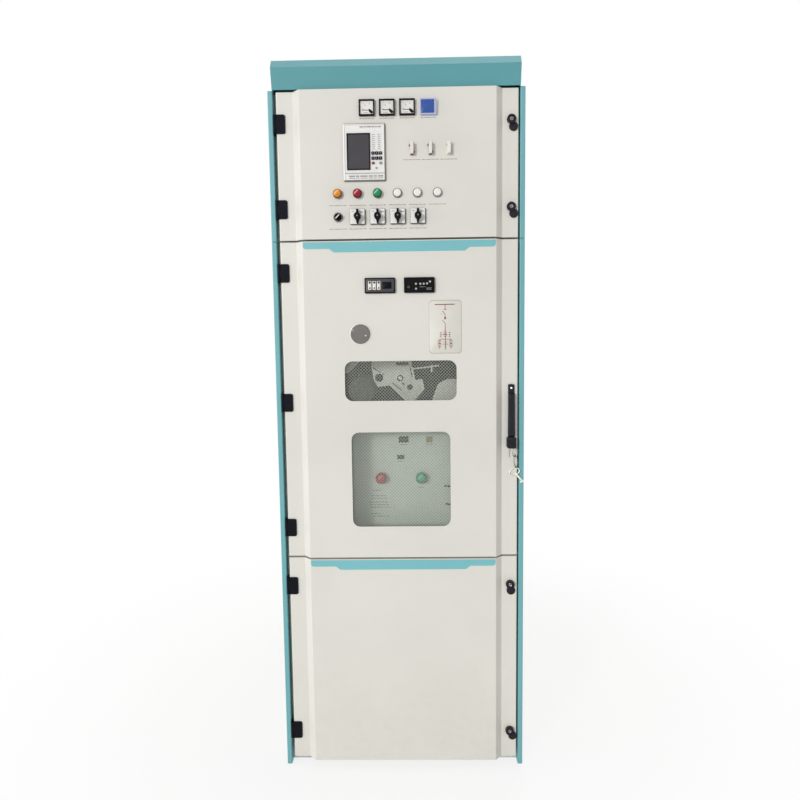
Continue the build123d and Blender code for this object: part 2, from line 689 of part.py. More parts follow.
def door_locks(heights, cover_angles):
    """Cylinder locks through a door's flange, each with a keyway, a nut inside and a swung dust cover."""
    with BuildPart() as locks:
        for z, angle in zip(heights, cover_angles):
            with BuildSketch(front_plane(LOCK_X, FACE, z)):
                Circle(LOCK_RADIUS)
            extrude(amount=LOCK_REACH)
            swing = Vector(0, -COVER_THROW).rotate(Axis.Z, angle)
            with BuildSketch(front_plane(LOCK_X + swing.X, FACE, z + swing.Y)):
                Circle(LOCK_RADIUS)
            extrude(amount=COVER_THICKNESS)
            with BuildSketch(front_plane(LOCK_X, FACE + LOCK_REACH, z)):
                Circle(LOCK_RADIUS - LOCK_RIM)
            extrude(amount=-LOCK_RIM, mode=Mode.SUBTRACT)
            with BuildSketch(front_plane(LOCK_X, FACE + LOCK_REACH - LOCK_RIM, z)):
                Rectangle(KEYWAY_WIDTH, KEYWAY_LENGTH)
            extrude(amount=-KEYWAY_DEPTH, mode=Mode.SUBTRACT)
            with BuildSketch(front_plane(LOCK_X, FACE, z)):
                Circle(LOCK_BODY_RADIUS)
            extrude(amount=-LOCK_BODY_LENGTH)
            with BuildSketch(front_plane(LOCK_X, FACE - SHEET, z)):
                RegularPolygon(LOCK_NUT_RADIUS, 6)
            extrude(amount=-LOCK_NUT_HEIGHT)
    return locks.part


def label_strip(head):
    """The coloured strip along a door's top edge, deeper in the middle than at its ends."""
    left = PANEL_LEFT + STRIP_SIDE_GAP
    right = PANEL_RIGHT - STRIP_SIDE_GAP
    top = head - STRIP_EDGE_GAP
    step_top = top - STRIP_END_HEIGHT
    step_foot = top - STRIP_HEIGHT
    with BuildPart() as strip:
        with BuildSketch(front_plane(0, PANEL_FACE, 0)) as outline:
            with BuildLine():
                Polyline(
                    (left, top),
                    (left, step_top),
                    (left + STRIP_STEP_INSET, step_top),
                    (left + STRIP_STEP_INSET + STRIP_STEP_RUN, step_foot),
                    (right - STRIP_STEP_INSET - STRIP_STEP_RUN, step_foot),
                    (right - STRIP_STEP_INSET, step_top),
                    (right, step_top),
                    (right, top),
                    close=True,
                )
            make_face()
            ends = outline.vertices().group_by(Axis.X)
            fillet([ends[0].sort_by(Axis.Y)[0], ends[-1].sort_by(Axis.Y)[0]], STRIP_CORNER)
        extrude(amount=STRIP_SHEET)
    return strip.part


# Instrument door, cut for the instruments' bodies and the locks
with BuildPart() as instrument_door:
    add(door_pan(INSTRUMENT_DOOR_FOOT, INSTRUMENT_DOOR_HEAD))
    with BuildSketch(front_plane(0, PANEL_FACE, 0)):
        with Locations([(x, METER_Z) for x in METER_XS + [DIGITAL_METER_X]]):
            Rectangle(METER_BODY + 2 * HOLE_CLEARANCE, METER_BODY + 2 * HOLE_CLEARANCE)
        with Locations((RELAY_X, RELAY_Z)):
            Rectangle(RELAY_BODY_WIDTH + 2 * HOLE_CLEARANCE, RELAY_BODY_HEIGHT + 2 * HOLE_CLEARANCE)
        with Locations([(x, LAMP_Z) for x in LAMP_XS] + [(SELECTOR_X, SWITCH_Z)]):
            Circle(LAMP_BODY_RADIUS + HOLE_CLEARANCE)
        with Locations([(x, SWITCH_Z) for x in CAM_XS]):
            Rectangle(CAM_BODY + 2 * HOLE_CLEARANCE, CAM_BODY + 2 * HOLE_CLEARANCE)
    extrude(amount=-SHEET - CUT_OVERRUN, mode=Mode.SUBTRACT)
    with BuildSketch(front_plane(0, FACE, 0)):
        with Locations([(LOCK_X, z) for z in INSTRUMENT_LOCKS]):
            Circle(LOCK_BODY_RADIUS + HOLE_CLEARANCE)
    extrude(amount=-SHEET - CUT_OVERRUN, mode=Mode.SUBTRACT)
instrument_door.part.label = "instrument_door"
export_step(instrument_door.part, "parts/instrument_door.step")

instrument_door_hinges = door_hinges(INSTRUMENT_HINGES)
instrument_door_hinges.label = "instrument_door_hinges"
export_step(instrument_door_hinges, "parts/instrument_door_hinges.step")

instrument_door_locks = door_locks(INSTRUMENT_LOCKS, INSTRUMENT_COVER_ANGLES)
instrument_door_locks.label = "instrument_door_locks"
export_step(instrument_door_locks, "parts/instrument_door_locks.step")

# Pointer meters: a square bezel with a sunk window, and a body through the door
with BuildPart() as meter_cases:
    with BuildSketch(front_plane(0, PANEL_FACE, METER_Z)):
        with Locations([(x, 0) for x in METER_XS]):
            Rectangle(METER_SIZE, METER_SIZE)
    extrude(amount=METER_REACH)
    with BuildSketch(front_plane(0, PANEL_FACE + METER_REACH, METER_Z)):
        with Locations([(x, 0) for x in METER_XS]):
            Rectangle(METER_WINDOW, METER_WINDOW)
    extrude(amount=-METER_WINDOW_DEPTH, mode=Mode.SUBTRACT)
    with BuildSketch(front_plane(0, PANEL_FACE, METER_Z)):
        with Locations([(x, 0) for x in METER_XS]):
            Rectangle(METER_BODY, METER_BODY)
    extrude(amount=-METER_BODY_DEPTH)
meter_cases.part.label = "meter_cases"
export_step(meter_cases.part, "parts/meter_cases.step")

with BuildPart() as meter_dials:
    with BuildSketch(front_plane(0, PANEL_FACE + METER_REACH - METER_WINDOW_DEPTH, METER_Z)):
        with Locations([(x, 0) for x in METER_XS]):
            Rectangle(METER_WINDOW - HOLE_CLEARANCE, METER_WINDOW - HOLE_CLEARANCE)
    extrude(amount=DIAL_SHEET)
meter_dials.part.label = "meter_dials"
export_step(meter_dials.part, "parts/meter_dials.step")

with BuildPart() as digital_meter:
    with BuildSketch(front_plane(DIGITAL_METER_X, PANEL_FACE, METER_Z)):
        Rectangle(METER_SIZE, METER_SIZE)
    extrude(amount=METER_REACH)
    with BuildSketch(front_plane(DIGITAL_METER_X, PANEL_FACE, METER_Z)):
        Rectangle(METER_BODY, METER_BODY)
    extrude(amount=-METER_BODY_DEPTH)
digital_meter.part.label = "digital_meter"
export_step(digital_meter.part, "parts/digital_meter.step")

# Protection relay: a rimmed front with a sunk screen, and a body through the door
with BuildPart() as relay_case:
    with BuildSketch(front_plane(RELAY_X, PANEL_FACE, RELAY_Z)):
        RectangleRounded(RELAY_WIDTH, RELAY_HEIGHT, RELAY_CORNER)
    extrude(amount=RELAY_REACH)
    chamfer(relay_case.faces().sort_by(Axis.Y)[0].edges(), RELAY_BEVEL)
    with BuildSketch(front_plane(RELAY_X, PANEL_FACE + RELAY_REACH, RELAY_Z)):
        Rectangle(RELAY_WIDTH - 2 * RELAY_RIM, RELAY_HEIGHT - 2 * RELAY_RIM)
    extrude(amount=-RELAY_RIM_DEPTH, mode=Mode.SUBTRACT)
    with BuildSketch(front_plane(RELAY_X, PANEL_FACE, RELAY_Z)):
        Rectangle(RELAY_BODY_WIDTH, RELAY_BODY_HEIGHT)
    extrude(amount=-RELAY_BODY_DEPTH)
relay_case.part.label = "relay_case"
export_step(relay_case.part, "parts/relay_case.step")

with BuildPart() as relay_screen:
    screen_forward = PANEL_FACE + RELAY_REACH - RELAY_RIM_DEPTH
    with BuildSketch(front_plane(RELAY_X + SCREEN_SHIFT_X, screen_forward, RELAY_Z + SCREEN_SHIFT_Z)):
        Rectangle(SCREEN_WIDTH, SCREEN_HEIGHT)
    extrude(amount=SCREEN_SHEET)
relay_screen.part.label = "relay_screen"
export_step(relay_screen.part, "parts/relay_screen.step")

# Trip links: a base with two posts bridged by a link bar
with BuildPart() as trip_links:
    for x in LINK_XS:
        with BuildSketch(front_plane(x, PANEL_FACE, LINK_Z)):
            Rectangle(LINK_WIDTH, LINK_HEIGHT)
        extrude(amount=LINK_BASE_REACH)
        with BuildSketch(front_plane(x, PANEL_FACE + LINK_BASE_REACH, LINK_Z)):
            with GridLocations(0, LINK_POST_SPREAD, 1, 2):
                Circle(LINK_POST_RADIUS)
        extrude(amount=LINK_POST_REACH)
        with BuildSketch(front_plane(x, PANEL_FACE + LINK_BASE_REACH + LINK_POST_REACH, LINK_Z)):
            Rectangle(LINK_BAR_WIDTH, LINK_BAR_HEIGHT)
        extrude(amount=LINK_BAR_THICKNESS)
trip_links.part.label = "trip_links"
export_step(trip_links.part, "parts/trip_links.step")

# Bezels of the lamps and of the selector switch, with their bodies through the door
with BuildPart() as panel_bezels:
    bezel_places = [(x, LAMP_Z) for x in LAMP_XS] + [(SELECTOR_X, SWITCH_Z)]
    with BuildSketch(front_plane(0, PANEL_FACE, 0)):
        with Locations(bezel_places):
            Circle(BEZEL_RADIUS)
    extrude(amount=BEZEL_REACH)
    chamfer(panel_bezels.faces().sort_by(Axis.Y)[: len(bezel_places)].edges(), BEZEL_CHAMFER)
    with BuildSketch(front_plane(0, PANEL_FACE + BEZEL_REACH, 0)):
        with Locations(bezel_places):
            Circle(LENS_RADIUS + LENS_CLEARANCE)
    extrude(amount=-LENS_SEAT, mode=Mode.SUBTRACT)
    with BuildSketch(front_plane(0, PANEL_FACE, 0)):
        with Locations(bezel_places):
            Circle(LAMP_BODY_RADIUS)
    extrude(amount=-LAMP_BODY_DEPTH)
panel_bezels.part.label = "panel_bezels"
export_step(panel_bezels.part, "parts/panel_bezels.step")

# Lamp lenses, one node for each colour: the coloured ones have a cap that covers their bezel
for colour in ["amber", "red", "green", "white"]:
    front_radius = LENS_RADIUS if colour == "white" else CAP_RADIUS
    with BuildPart() as lenses:
        for lamp_colour, x in zip(LAMP_COLOURS, LAMP_XS):
            if lamp_colour == colour:
                with BuildSketch(front_plane(x, PANEL_FACE + BEZEL_REACH, LAMP_Z)):
                    Circle(front_radius)
                extrude(amount=LENS_RISE)
                with BuildSketch(front_plane(x, PANEL_FACE + BEZEL_REACH, LAMP_Z)):
                    Circle(LENS_RADIUS)
                extrude(amount=-LENS_SEAT)
        lens_fronts = lenses.faces().filter_by(Plane.XZ).group_by(Axis.Y)[0]
        fillet(lens_fronts.edges(), LENS_ROUND)
    lenses.part.label = colour + "_lamp"
    export_step(lenses.part, "parts/" + colour + "_lamp.step")

# Selector knob: a round knob with a raised grip
with BuildPart() as selector_knob:
    knob_forward = PANEL_FACE + BEZEL_REACH - LENS_SEAT + KNOB_CLEARANCE
    with BuildSketch(front_plane(SELECTOR_X, knob_forward, SWITCH_Z)):
        Circle(SELECTOR_KNOB_RADIUS)
    extrude(amount=SELECTOR_KNOB_REACH)
    with BuildSketch(front_plane(SELECTOR_X, knob_forward + SELECTOR_KNOB_REACH, SWITCH_Z)):
        SlotOverall(SELECTOR_GRIP_LENGTH, SELECTOR_GRIP_WIDTH, rotation=SELECTOR_ANGLE)
    extrude(amount=SELECTOR_GRIP_REACH)
selector_knob.part.label = "selector_knob"
export_step(selector_knob.part, "parts/selector_knob.step")

# Cam switch plates, with their bodies through the door
with BuildPart() as cam_switch_plates:
    with BuildSketch(front_plane(0, PANEL_FACE, SWITCH_Z)):
        with Locations([(x, 0) for x in CAM_XS]):
            RectangleRounded(CAM_PLATE, CAM_PLATE, CAM_PLATE_CORNER)
    extrude(amount=CAM_PLATE_REACH)
    chamfer(cam_switch_plates.faces().sort_by(Axis.Y)[:CAM_COUNT].edges(), CAM_PLATE_BEVEL)
    with BuildSketch(front_plane(0, PANEL_FACE, SWITCH_Z)):
        with Locations([(x, 0) for x in CAM_XS]):
            Rectangle(CAM_BODY, CAM_BODY)
    extrude(amount=-CAM_BODY_DEPTH)
cam_switch_plates.part.label = "cam_switch_plates"
export_step(cam_switch_plates.part, "parts/cam_switch_plates.step")

# Cam switch knobs: a round hub with a dimple, and a pointer grip that narrows to its nose and its tail
for number, x in enumerate(CAM_XS, start=1):
    with BuildPart() as cam_knob:
        knob_plane = front_plane(x, PANEL_FACE + CAM_PLATE_REACH + KNOB_CLEARANCE, SWITCH_Z)
        with BuildSketch(knob_plane):
            Circle(CAM_HUB_RADIUS)
        extrude(amount=CAM_HUB_REACH)
        fillet(cam_knob.faces().sort_by(Axis.Y)[0].edges(), CAM_HUB_ROUND)
        with BuildSketch(knob_plane.offset(CAM_HUB_REACH)):
            Circle(CAM_DIMPLE_RADIUS)
        extrude(amount=-CAM_DIMPLE_DEPTH, mode=Mode.SUBTRACT)
        with BuildSketch(knob_plane):
            with BuildLine():
                Polyline(
                    (-CAM_GRIP_TAIL / 2, -CAM_GRIP_LENGTH / 2),
                    (CAM_GRIP_TAIL / 2, -CAM_GRIP_LENGTH / 2),
                    (CAM_GRIP_WIDTH / 2, 0),
                    (CAM_GRIP_NOSE / 2, CAM_HUB_RADIUS),
                    (CAM_GRIP_NOSE / 2, CAM_GRIP_LENGTH / 2),
                    (-CAM_GRIP_NOSE / 2, CAM_GRIP_LENGTH / 2),
                    (-CAM_GRIP_NOSE / 2, CAM_HUB_RADIUS),
                    (-CAM_GRIP_WIDTH / 2, 0),
                    close=True,
                )
            make_face()
        extrude(amount=CAM_GRIP_REACH)
    cam_knob.part.label = "cam_switch_knob_" + str(number)
    export_step(cam_knob.part, "parts/cam_switch_knob_" + str(number) + ".step")

# Breaker door, cut for the windows, the controllers and the trip hole
WINDOWS = [
    (UPPER_WINDOW_X, UPPER_WINDOW_Z, UPPER_WINDOW_WIDTH, UPPER_WINDOW_HEIGHT),
    (LOWER_WINDOW_X, LOWER_WINDOW_Z, LOWER_WINDOW_WIDTH, LOWER_WINDOW_HEIGHT),
]
with BuildPart() as breaker_door:
    add(door_pan(BREAKER_DOOR_FOOT, BREAKER_DOOR_HEAD))
    with BuildSketch(front_plane(0, PANEL_FACE, 0)):
        for x, z, width, height in WINDOWS:
            with Locations((x, z)):
                RectangleRounded(width, height, WINDOW_CORNER)
        with Locations([(x, CONTROLLER_Z) for x in CONTROLLER_XS]):
            Rectangle(CONTROLLER_BODY_WIDTH + 2 * HOLE_CLEARANCE, CONTROLLER_BODY_HEIGHT + 2 * HOLE_CLEARANCE)
        with Locations((TRIP_COVER_X, TRIP_COVER_Z)):
            Circle(TRIP_HOLE_RADIUS)
    extrude(amount=-SHEET - CUT_OVERRUN, mode=Mode.SUBTRACT)
breaker_door.part.label = "breaker_door"
export_step(breaker_door.part, "parts/breaker_door.step")

breaker_door_hinges = door_hinges(BREAKER_HINGES)
breaker_door_hinges.label = "breaker_door_hinges"
export_step(breaker_door_hinges, "parts/breaker_door_hinges.step")

breaker_door_strip = label_strip(BREAKER_DOOR_HEAD)
breaker_door_strip.label = "breaker_door_strip"
export_step(breaker_door_strip, "parts/breaker_door_strip.step")

# Window panes behind the door's sheet, and the frames that clamp them
with BuildPart() as window_panes:
    with BuildSketch(front_plane(0, PANEL_INNER, 0)):
        for x, z, width, height in WINDOWS:
            with Locations((x, z)):
                RectangleRounded(width + 2 * PANE_LAP, height + 2 * PANE_LAP, WINDOW_CORNER)
    extrude(amount=-PANE_THICKNESS)
window_panes.part.label = "window_panes"
export_step(window_panes.part, "parts/window_panes.step")

with BuildPart() as window_clamps:
    clamp_depth = PANE_THICKNESS + MESH_ROOM
    with BuildSketch(front_plane(0, PANEL_INNER, 0)):
        for x, z, width, height in WINDOWS:
            outer = 2 * (PANE_LAP + CLAMP_WIDTH / 2)
            with Locations((x, z)):
                Rectangle(width + outer, height + outer)
    extrude(amount=-clamp_depth - SHEET)
    with BuildSketch(front_plane(0, PANEL_INNER, 0)):
        for x, z, width, height in WINDOWS:
            inner = 2 * (PANE_LAP + HOLE_CLEARANCE)
            with Locations((x, z)):
                RectangleRounded(width + inner, height + inner, WINDOW_CORNER)
    extrude(amount=-clamp_depth, mode=Mode.SUBTRACT)
    with BuildSketch(front_plane(0, PANEL_INNER, 0)):
        for x, z, width, height in WINDOWS:
            with Locations((x, z)):
                RectangleRounded(width + 2 * CLAMP_LAP, height + 2 * CLAMP_LAP, WINDOW_CORNER)
    extrude(amount=-clamp_depth - 2 * SHEET, mode=Mode.SUBTRACT)
window_clamps.part.label = "window_clamps"
export_step(window_clamps.part, "parts/window_clamps.step")

# Humidity controller and live-line display: bezels with sunk faces, and bodies through the door
with BuildPart() as door_controllers:
    with BuildSketch(front_plane(0, PANEL_FACE, CONTROLLER_Z)):
        with Locations([(x, 0) for x in CONTROLLER_XS]):
            RectangleRounded(CONTROLLER_WIDTH, CONTROLLER_HEIGHT, CONTROLLER_CORNER)
    extrude(amount=CONTROLLER_REACH)
    with BuildSketch(front_plane(0, PANEL_FACE + CONTROLLER_REACH, CONTROLLER_Z)):
        with Locations([(x, 0) for x in CONTROLLER_XS]):
            Rectangle(CONTROLLER_WIDTH - 2 * CONTROLLER_RIM, CONTROLLER_HEIGHT - 2 * CONTROLLER_RIM)
    extrude(amount=-CONTROLLER_POCKET_DEPTH, mode=Mode.SUBTRACT)
    with BuildSketch(front_plane(0, PANEL_FACE, CONTROLLER_Z)):
        with Locations([(x, 0) for x in CONTROLLER_XS]):
            Rectangle(CONTROLLER_BODY_WIDTH, CONTROLLER_BODY_HEIGHT)
    extrude(amount=-CONTROLLER_BODY_DEPTH)
door_controllers.part.label = "door_controllers"
export_step(door_controllers.part, "parts/door_controllers.step")

# Round cover over the emergency trip hole
with BuildPart() as trip_cover:
    with BuildSketch(front_plane(TRIP_COVER_X, PANEL_FACE, TRIP_COVER_Z)):
        Circle(TRIP_COVER_RADIUS)
    extrude(amount=TRIP_COVER_REACH)
    chamfer(trip_cover.faces().sort_by(Axis.Y)[0].edges(), TRIP_COVER_CHAMFER)
trip_cover.part.label = "trip_cover"
export_step(trip_cover.part, "parts/trip_cover.step")

# Handle base: a long plate with a lug and pin for the lever, and a lock block at its foot
HANDLE_FOOT_Z = HANDLE_Z - HANDLE_HEIGHT / 2
LOCK_BLOCK_Z = HANDLE_FOOT_Z + HANDLE_LOCK_HEIGHT / 2
LEVER_FOOT_Z = HANDLE_FOOT_Z + HANDLE_LOCK_HEIGHT + LEVER_FOOT_GAP
LEVER_PIN_Z = HANDLE_Z + HANDLE_HEIGHT / 2 - LEVER_PIN_INSET
LEVER_HEAD_Z = LEVER_PIN_Z + LEVER_THICKNESS / 2
LEVER_BACK = FACE + HANDLE_BASE_REACH + LEVER_GAP
LEVER_PIN_FORWARD = LEVER_BACK + LEVER_THICKNESS / 2
LEVER_PIN_PLANE = Plane(
    origin=(HANDLE_X, -LEVER_PIN_FORWARD, LEVER_PIN_Z), x_dir=(0, 1, 0), z_dir=(1, 0, 0)
)
with BuildPart() as handle_base:
    with BuildSketch(front_plane(HANDLE_X, FACE, HANDLE_Z)):
        RectangleRounded(HANDLE_WIDTH, HANDLE_HEIGHT, HANDLE_CORNER)
    extrude(amount=HANDLE_BASE_REACH)
    with BuildSketch(front_plane(HANDLE_X, FACE, LOCK_BLOCK_Z)):
        RectangleRounded(HANDLE_LOCK_WIDTH, HANDLE_LOCK_HEIGHT, HANDLE_LOCK_CORNER)
    extrude(amount=HANDLE_LOCK_REACH)
    barrel_forward = FACE + HANDLE_LOCK_REACH + HANDLE_LOCK_BARREL_REACH
    with BuildSketch(front_plane(HANDLE_X, barrel_forward, LOCK_BLOCK_Z)):
        Circle(HANDLE_LOCK_BARREL)
    extrude(amount=-HANDLE_LOCK_BARREL_REACH)
    with BuildSketch(front_plane(HANDLE_X, barrel_forward, LOCK_BLOCK_Z)):
        Rectangle(KEYWAY_WIDTH, KEYWAY_LENGTH)
    extrude(amount=-KEYWAY_DEPTH, mode=Mode.SUBTRACT)
    with BuildSketch(LEVER_PIN_PLANE):
        Circle(HANDLE_LUG_RADIUS)
        Rectangle(LEVER_GAP + LEVER_THICKNESS / 2, 2 * HANDLE_LUG_RADIUS, align=(Align.MIN, Align.CENTER))
    extrude(amount=HANDLE_LUG_WIDTH / 2, both=True)
    with BuildSketch(LEVER_PIN_PLANE):
        Circle(LEVER_PIN_RADIUS)
    extrude(amount=LEVER_HEAD_WIDTH / 2, both=True)
handle_base.part.label = "handle_base"
export_step(handle_base.part, "parts/handle_base.step")

# Handle lever: a bevelled grip that widens to its foot, slotted at its head for the lug and its pin
with BuildPart() as handle_lever:
    with BuildSketch(front_plane(HANDLE_X, LEVER_BACK, 0)) as grip:
        with BuildLine():
            Polyline(
                (-LEVER_FOOT_WIDTH / 2, LEVER_FOOT_Z),
                (LEVER_FOOT_WIDTH / 2, LEVER_FOOT_Z),
                (LEVER_HEAD_WIDTH / 2, LEVER_HEAD_Z),
                (-LEVER_HEAD_WIDTH / 2, LEVER_HEAD_Z),
                close=True,
            )
        make_face()
        fillet(grip.vertices().group_by(Axis.Y)[0], LEVER_FOOT_CORNER)
    extrude(amount=LEVER_THICKNESS)
    grip_front = handle_lever.faces().sort_by(Axis.Y)[0]
    chamfer(grip_front.edges().sort_by(Axis.Z)[:-1], LEVER_BEVEL)
    with BuildSketch(LEVER_PIN_PLANE):
        Circle(LEVER_THICKNESS / 2)
        Rectangle(LEVER_THICKNESS, LEVER_PIN_Z - LEVER_FOOT_Z, align=(Align.CENTER, Align.MAX))
    extrude(amount=LEVER_FOOT_WIDTH, both=True, mode=Mode.INTERSECT)
    with BuildSketch(LEVER_PIN_PLANE):
        Circle(LEVER_PIN_RADIUS + PIN_CLEARANCE)
    extrude(amount=LEVER_FOOT_WIDTH, both=True, mode=Mode.SUBTRACT)
    with BuildSketch(front_plane(HANDLE_X, LEVER_BACK, LEVER_HEAD_Z)):
        Rectangle(
            HANDLE_LUG_WIDTH + 2 * LEVER_GAP,
            LEVER_THICKNESS / 2 + LEVER_SLOT_DROP,
            align=(Align.CENTER, Align.MAX),
        )
    extrude(amount=LEVER_THICKNESS - LEVER_WALL, mode=Mode.SUBTRACT)
handle_lever.part.label = "handle_lever"
export_step(handle_lever.part, "parts/handle_lever.step")

# Cable door
with BuildPart() as cable_door:
    add(door_pan(DOOR_FOOT_Z, CABLE_DOOR_HEAD))
    with BuildSketch(front_plane(0, FACE, 0)):
        with Locations([(LOCK_X, z) for z in CABLE_LOCKS]):
            Circle(LOCK_BODY_RADIUS + HOLE_CLEARANCE)
    extrude(amount=-SHEET - CUT_OVERRUN, mode=Mode.SUBTRACT)
cable_door.part.label = "cable_door"
export_step(cable_door.part, "parts/cable_door.step")

cable_door_hinges = door_hinges(CABLE_HINGES)
cable_door_hinges.label = "cable_door_hinges"
export_step(cable_door_hinges, "parts/cable_door_hinges.step")

cable_door_strip = label_strip(CABLE_DOOR_HEAD)
cable_door_strip.label = "cable_door_strip"
export_step(cable_door_strip, "parts/cable_door_strip.step")

cable_door_locks = door_locks(CABLE_LOCKS, CABLE_COVER_ANGLES)
cable_door_locks.label = "cable_door_locks"
export_step(cable_door_locks, "parts/cable_door_locks.step")

# Truck chassis: a tray turned upside down
with BuildPart() as truck_chassis:
    truck_middle = (0, TRUCK_FRONT + TRUCK_LENGTH / 2 - FACE, TRUCK_TOP)
    chassis_plane = Plane(origin=truck_middle, x_dir=(1, 0, 0), z_dir=(0, 0, -1))
    add_tray(chassis_plane, TRUCK_WIDTH, TRUCK_LENGTH, TRUCK_FOLD)
truck_chassis.part.label = "truck_chassis"
export_step(truck_chassis.part, "parts/truck_chassis.step")

# Truck wheels, each with its stub axle against the chassis
with BuildPart() as truck_wheels:
    wheel_z = RAIL_TOP + WHEEL_CLEARANCE + WHEEL_RADIUS
    for y in [TRUCK_FRONT + WHEEL_INSET - FACE, TRUCK_FRONT + TRUCK_LENGTH - WHEEL_INSET - FACE]:
        with BuildSketch(Plane(origin=(TRUCK_WIDTH / 2, y, wheel_z), z_dir=(1, 0, 0))):
            Circle(WHEEL_AXLE_RADIUS)
        extrude(amount=WHEEL_GAP)
        with BuildSketch(Plane(origin=(TRUCK_WIDTH / 2 + WHEEL_GAP, y, wheel_z), z_dir=(1, 0, 0))):
            Circle(WHEEL_RADIUS)
        extrude(amount=WHEEL_WIDTH)
    mirror(about=Plane.YZ)
truck_wheels.part.label = "truck_wheels"
export_step(truck_wheels.part, "parts/truck_wheels.step")

# Breaker housing: a deep box open at the front
with BuildPart() as breaker_housing:
    housing_plane = front_plane(0, HOUSING_REAR, TRUCK_TOP + HOUSING_HEIGHT / 2)
    add_tray(housing_plane, HOUSING_WIDTH, HOUSING_HEIGHT, HOUSING_DEPTH)
breaker_housing.part.label = "breaker_housing"
export_step(breaker_housing.part, "parts/breaker_housing.step")

# Breaker panel: the cover over the lower part of the housing, cut for the two buttons and the indicators
with BuildPart() as breaker_panel:
    panel_plane = Plane(
        origin=(0, -BREAKER_FACE, TRUCK_TOP + PANEL_HEIGHT / 2), x_dir=(1, 0, 0), z_dir=(0, 1, 0)
    )
    add_tray(panel_plane, HOUSING_WIDTH, PANEL_HEIGHT, PANEL_FOLD)
    with BuildSketch(front_plane(0, BREAKER_FACE, BUTTON_Z)):
        with Locations([(x, 0) for x in BUTTON_XS]):
            Circle(BUTTON_STEM_RADIUS + BUTTON_HOLE_CLEARANCE)
        for x, rise, width, height in INDICATORS:
            with Locations((x, rise)):
                Rectangle(width, height)
    extrude(amount=-SHEET - CUT_OVERRUN, mode=Mode.SUBTRACT)
breaker_panel.part.label = "breaker_panel"
export_step(breaker_panel.part, "parts/breaker_panel.step")

# Indicators behind the panel's small openings: the spring's flag, the counter and the breaker's flag
with BuildPart() as breaker_indicators:
    with BuildSketch(front_plane(0, BREAKER_FACE - SHEET, BUTTON_Z)):
        for x, rise, width, height in INDICATORS:
            with Locations((x, rise)):
                Rectangle(width + 2 * INDICATOR_LAP, height + 2 * INDICATOR_LAP)
    extrude(amount=-INDICATOR_DEPTH)
breaker_indicators.part.label = "breaker_indicators"
export_step(breaker_indicators.part, "parts/breaker_indicators.step")

# Push buttons: a crowned cap that stands off the panel by its travel, on a stem through it
for button_name, x in zip(["trip_button", "close_button"], BUTTON_XS):
    with BuildPart() as button:
        with BuildSketch(front_plane(x, BREAKER_FACE + 2 * BUTTON_TRAVEL, BUTTON_Z)):
            Circle(BUTTON_RADIUS)
        extrude(amount=BUTTON_REACH)
        fillet(button.faces().sort_by(Axis.Y)[0].edges(), BUTTON_CROWN)
        with BuildSketch(front_plane(x, BREAKER_FACE + 2 * BUTTON_TRAVEL, BUTTON_Z)):
            Circle(BUTTON_STEM_RADIUS)
        extrude(amount=-BUTTON_STEM_LENGTH)
    button.part.label = button_name
    export_step(button.part, "parts/" + button_name + ".step")

MECHANISM_FORWARD = BREAKER_FACE - MECHANISM_STANDOFF
SIDE_PLATE_FOOT = (SIDE_PLATE_X, -SIDE_PLATE_DROP)


def on_mechanism(shares):
    """A place on the mechanism plate, from its shares of the plate's size."""
    return (shares[0] * MECHANISM_WIDTH, shares[1] * MECHANISM_HEIGHT)


def on_side_plate(shares):
    """A place on the side plate, from its shares of that plate's size."""
    x, z = SIDE_PLATE_FOOT
    return (x + shares[0] * SIDE_PLATE_WIDTH, z + shares[1] * SIDE_PLATE_HEIGHT)


# Mechanism plates and arm over the panel, on standoffs from the back of the housing
with BuildPart() as mechanism_plate:
    with BuildSketch(front_plane(0, MECHANISM_FORWARD, MECHANISM_Z)) as outlines:
        with BuildLine():
            Polyline(*[on_mechanism(shares) for shares in MECHANISM_OUTLINE_SHARES], close=True)
        make_face()
        with BuildLine():
            Polyline(*[on_side_plate(shares) for shares in SIDE_PLATE_OUTLINE_SHARES], close=True)
        make_face()
        fillet(outlines.vertices(), MECHANISM_ROUND)
        with Locations((ARM_X, ARM_RISE)):
            SlotOverall(ARM_LENGTH, ARM_WIDTH, rotation=ARM_ANGLE)
        with Locations(on_mechanism(WIDE_HOLE_SHARES)):
            Circle(WIDE_HOLE_RADIUS, mode=Mode.SUBTRACT)
        with Locations(on_mechanism(SMALL_HOLE_SHARES)):
            Circle(SMALL_HOLE_RADIUS, mode=Mode.SUBTRACT)
        with Locations(on_mechanism(SLIT_SHARES)):
            SlotOverall(SLIT_LENGTH, SLIT_WIDTH, mode=Mode.SUBTRACT)
    extrude(amount=-MECHANISM_SHEET)
    with BuildSketch(front_plane(0, MECHANISM_FORWARD, MECHANISM_Z)):
        for shares, radius in [(WIDE_HOLE_SHARES, WIDE_HOLE_RADIUS), (SMALL_HOLE_SHARES, SMALL_HOLE_RADIUS)]:
            with Locations(on_mechanism(shares)):
                Circle(radius + HOLE_RING_WIDTH)
                Circle(radius, mode=Mode.SUBTRACT)
    extrude(amount=HOLE_RING_REACH)
    with BuildSketch(front_plane(0, MECHANISM_FORWARD - MECHANISM_SHEET, MECHANISM_Z)):
        posts = [on_mechanism(shares) for shares in MECHANISM_POST_SHARES]
        with Locations(posts + [on_side_plate(SIDE_PLATE_POST_SHARES), (ARM_X, ARM_RISE)]):
            Circle(MECHANISM_STANDOFF_RADIUS)
    extrude(amount=HOUSING_REAR + SHEET - MECHANISM_FORWARD + MECHANISM_SHEET)
mechanism_plate.part.label = "mechanism_plate"
export_step(mechanism_plate.part, "parts/mechanism_plate.step")

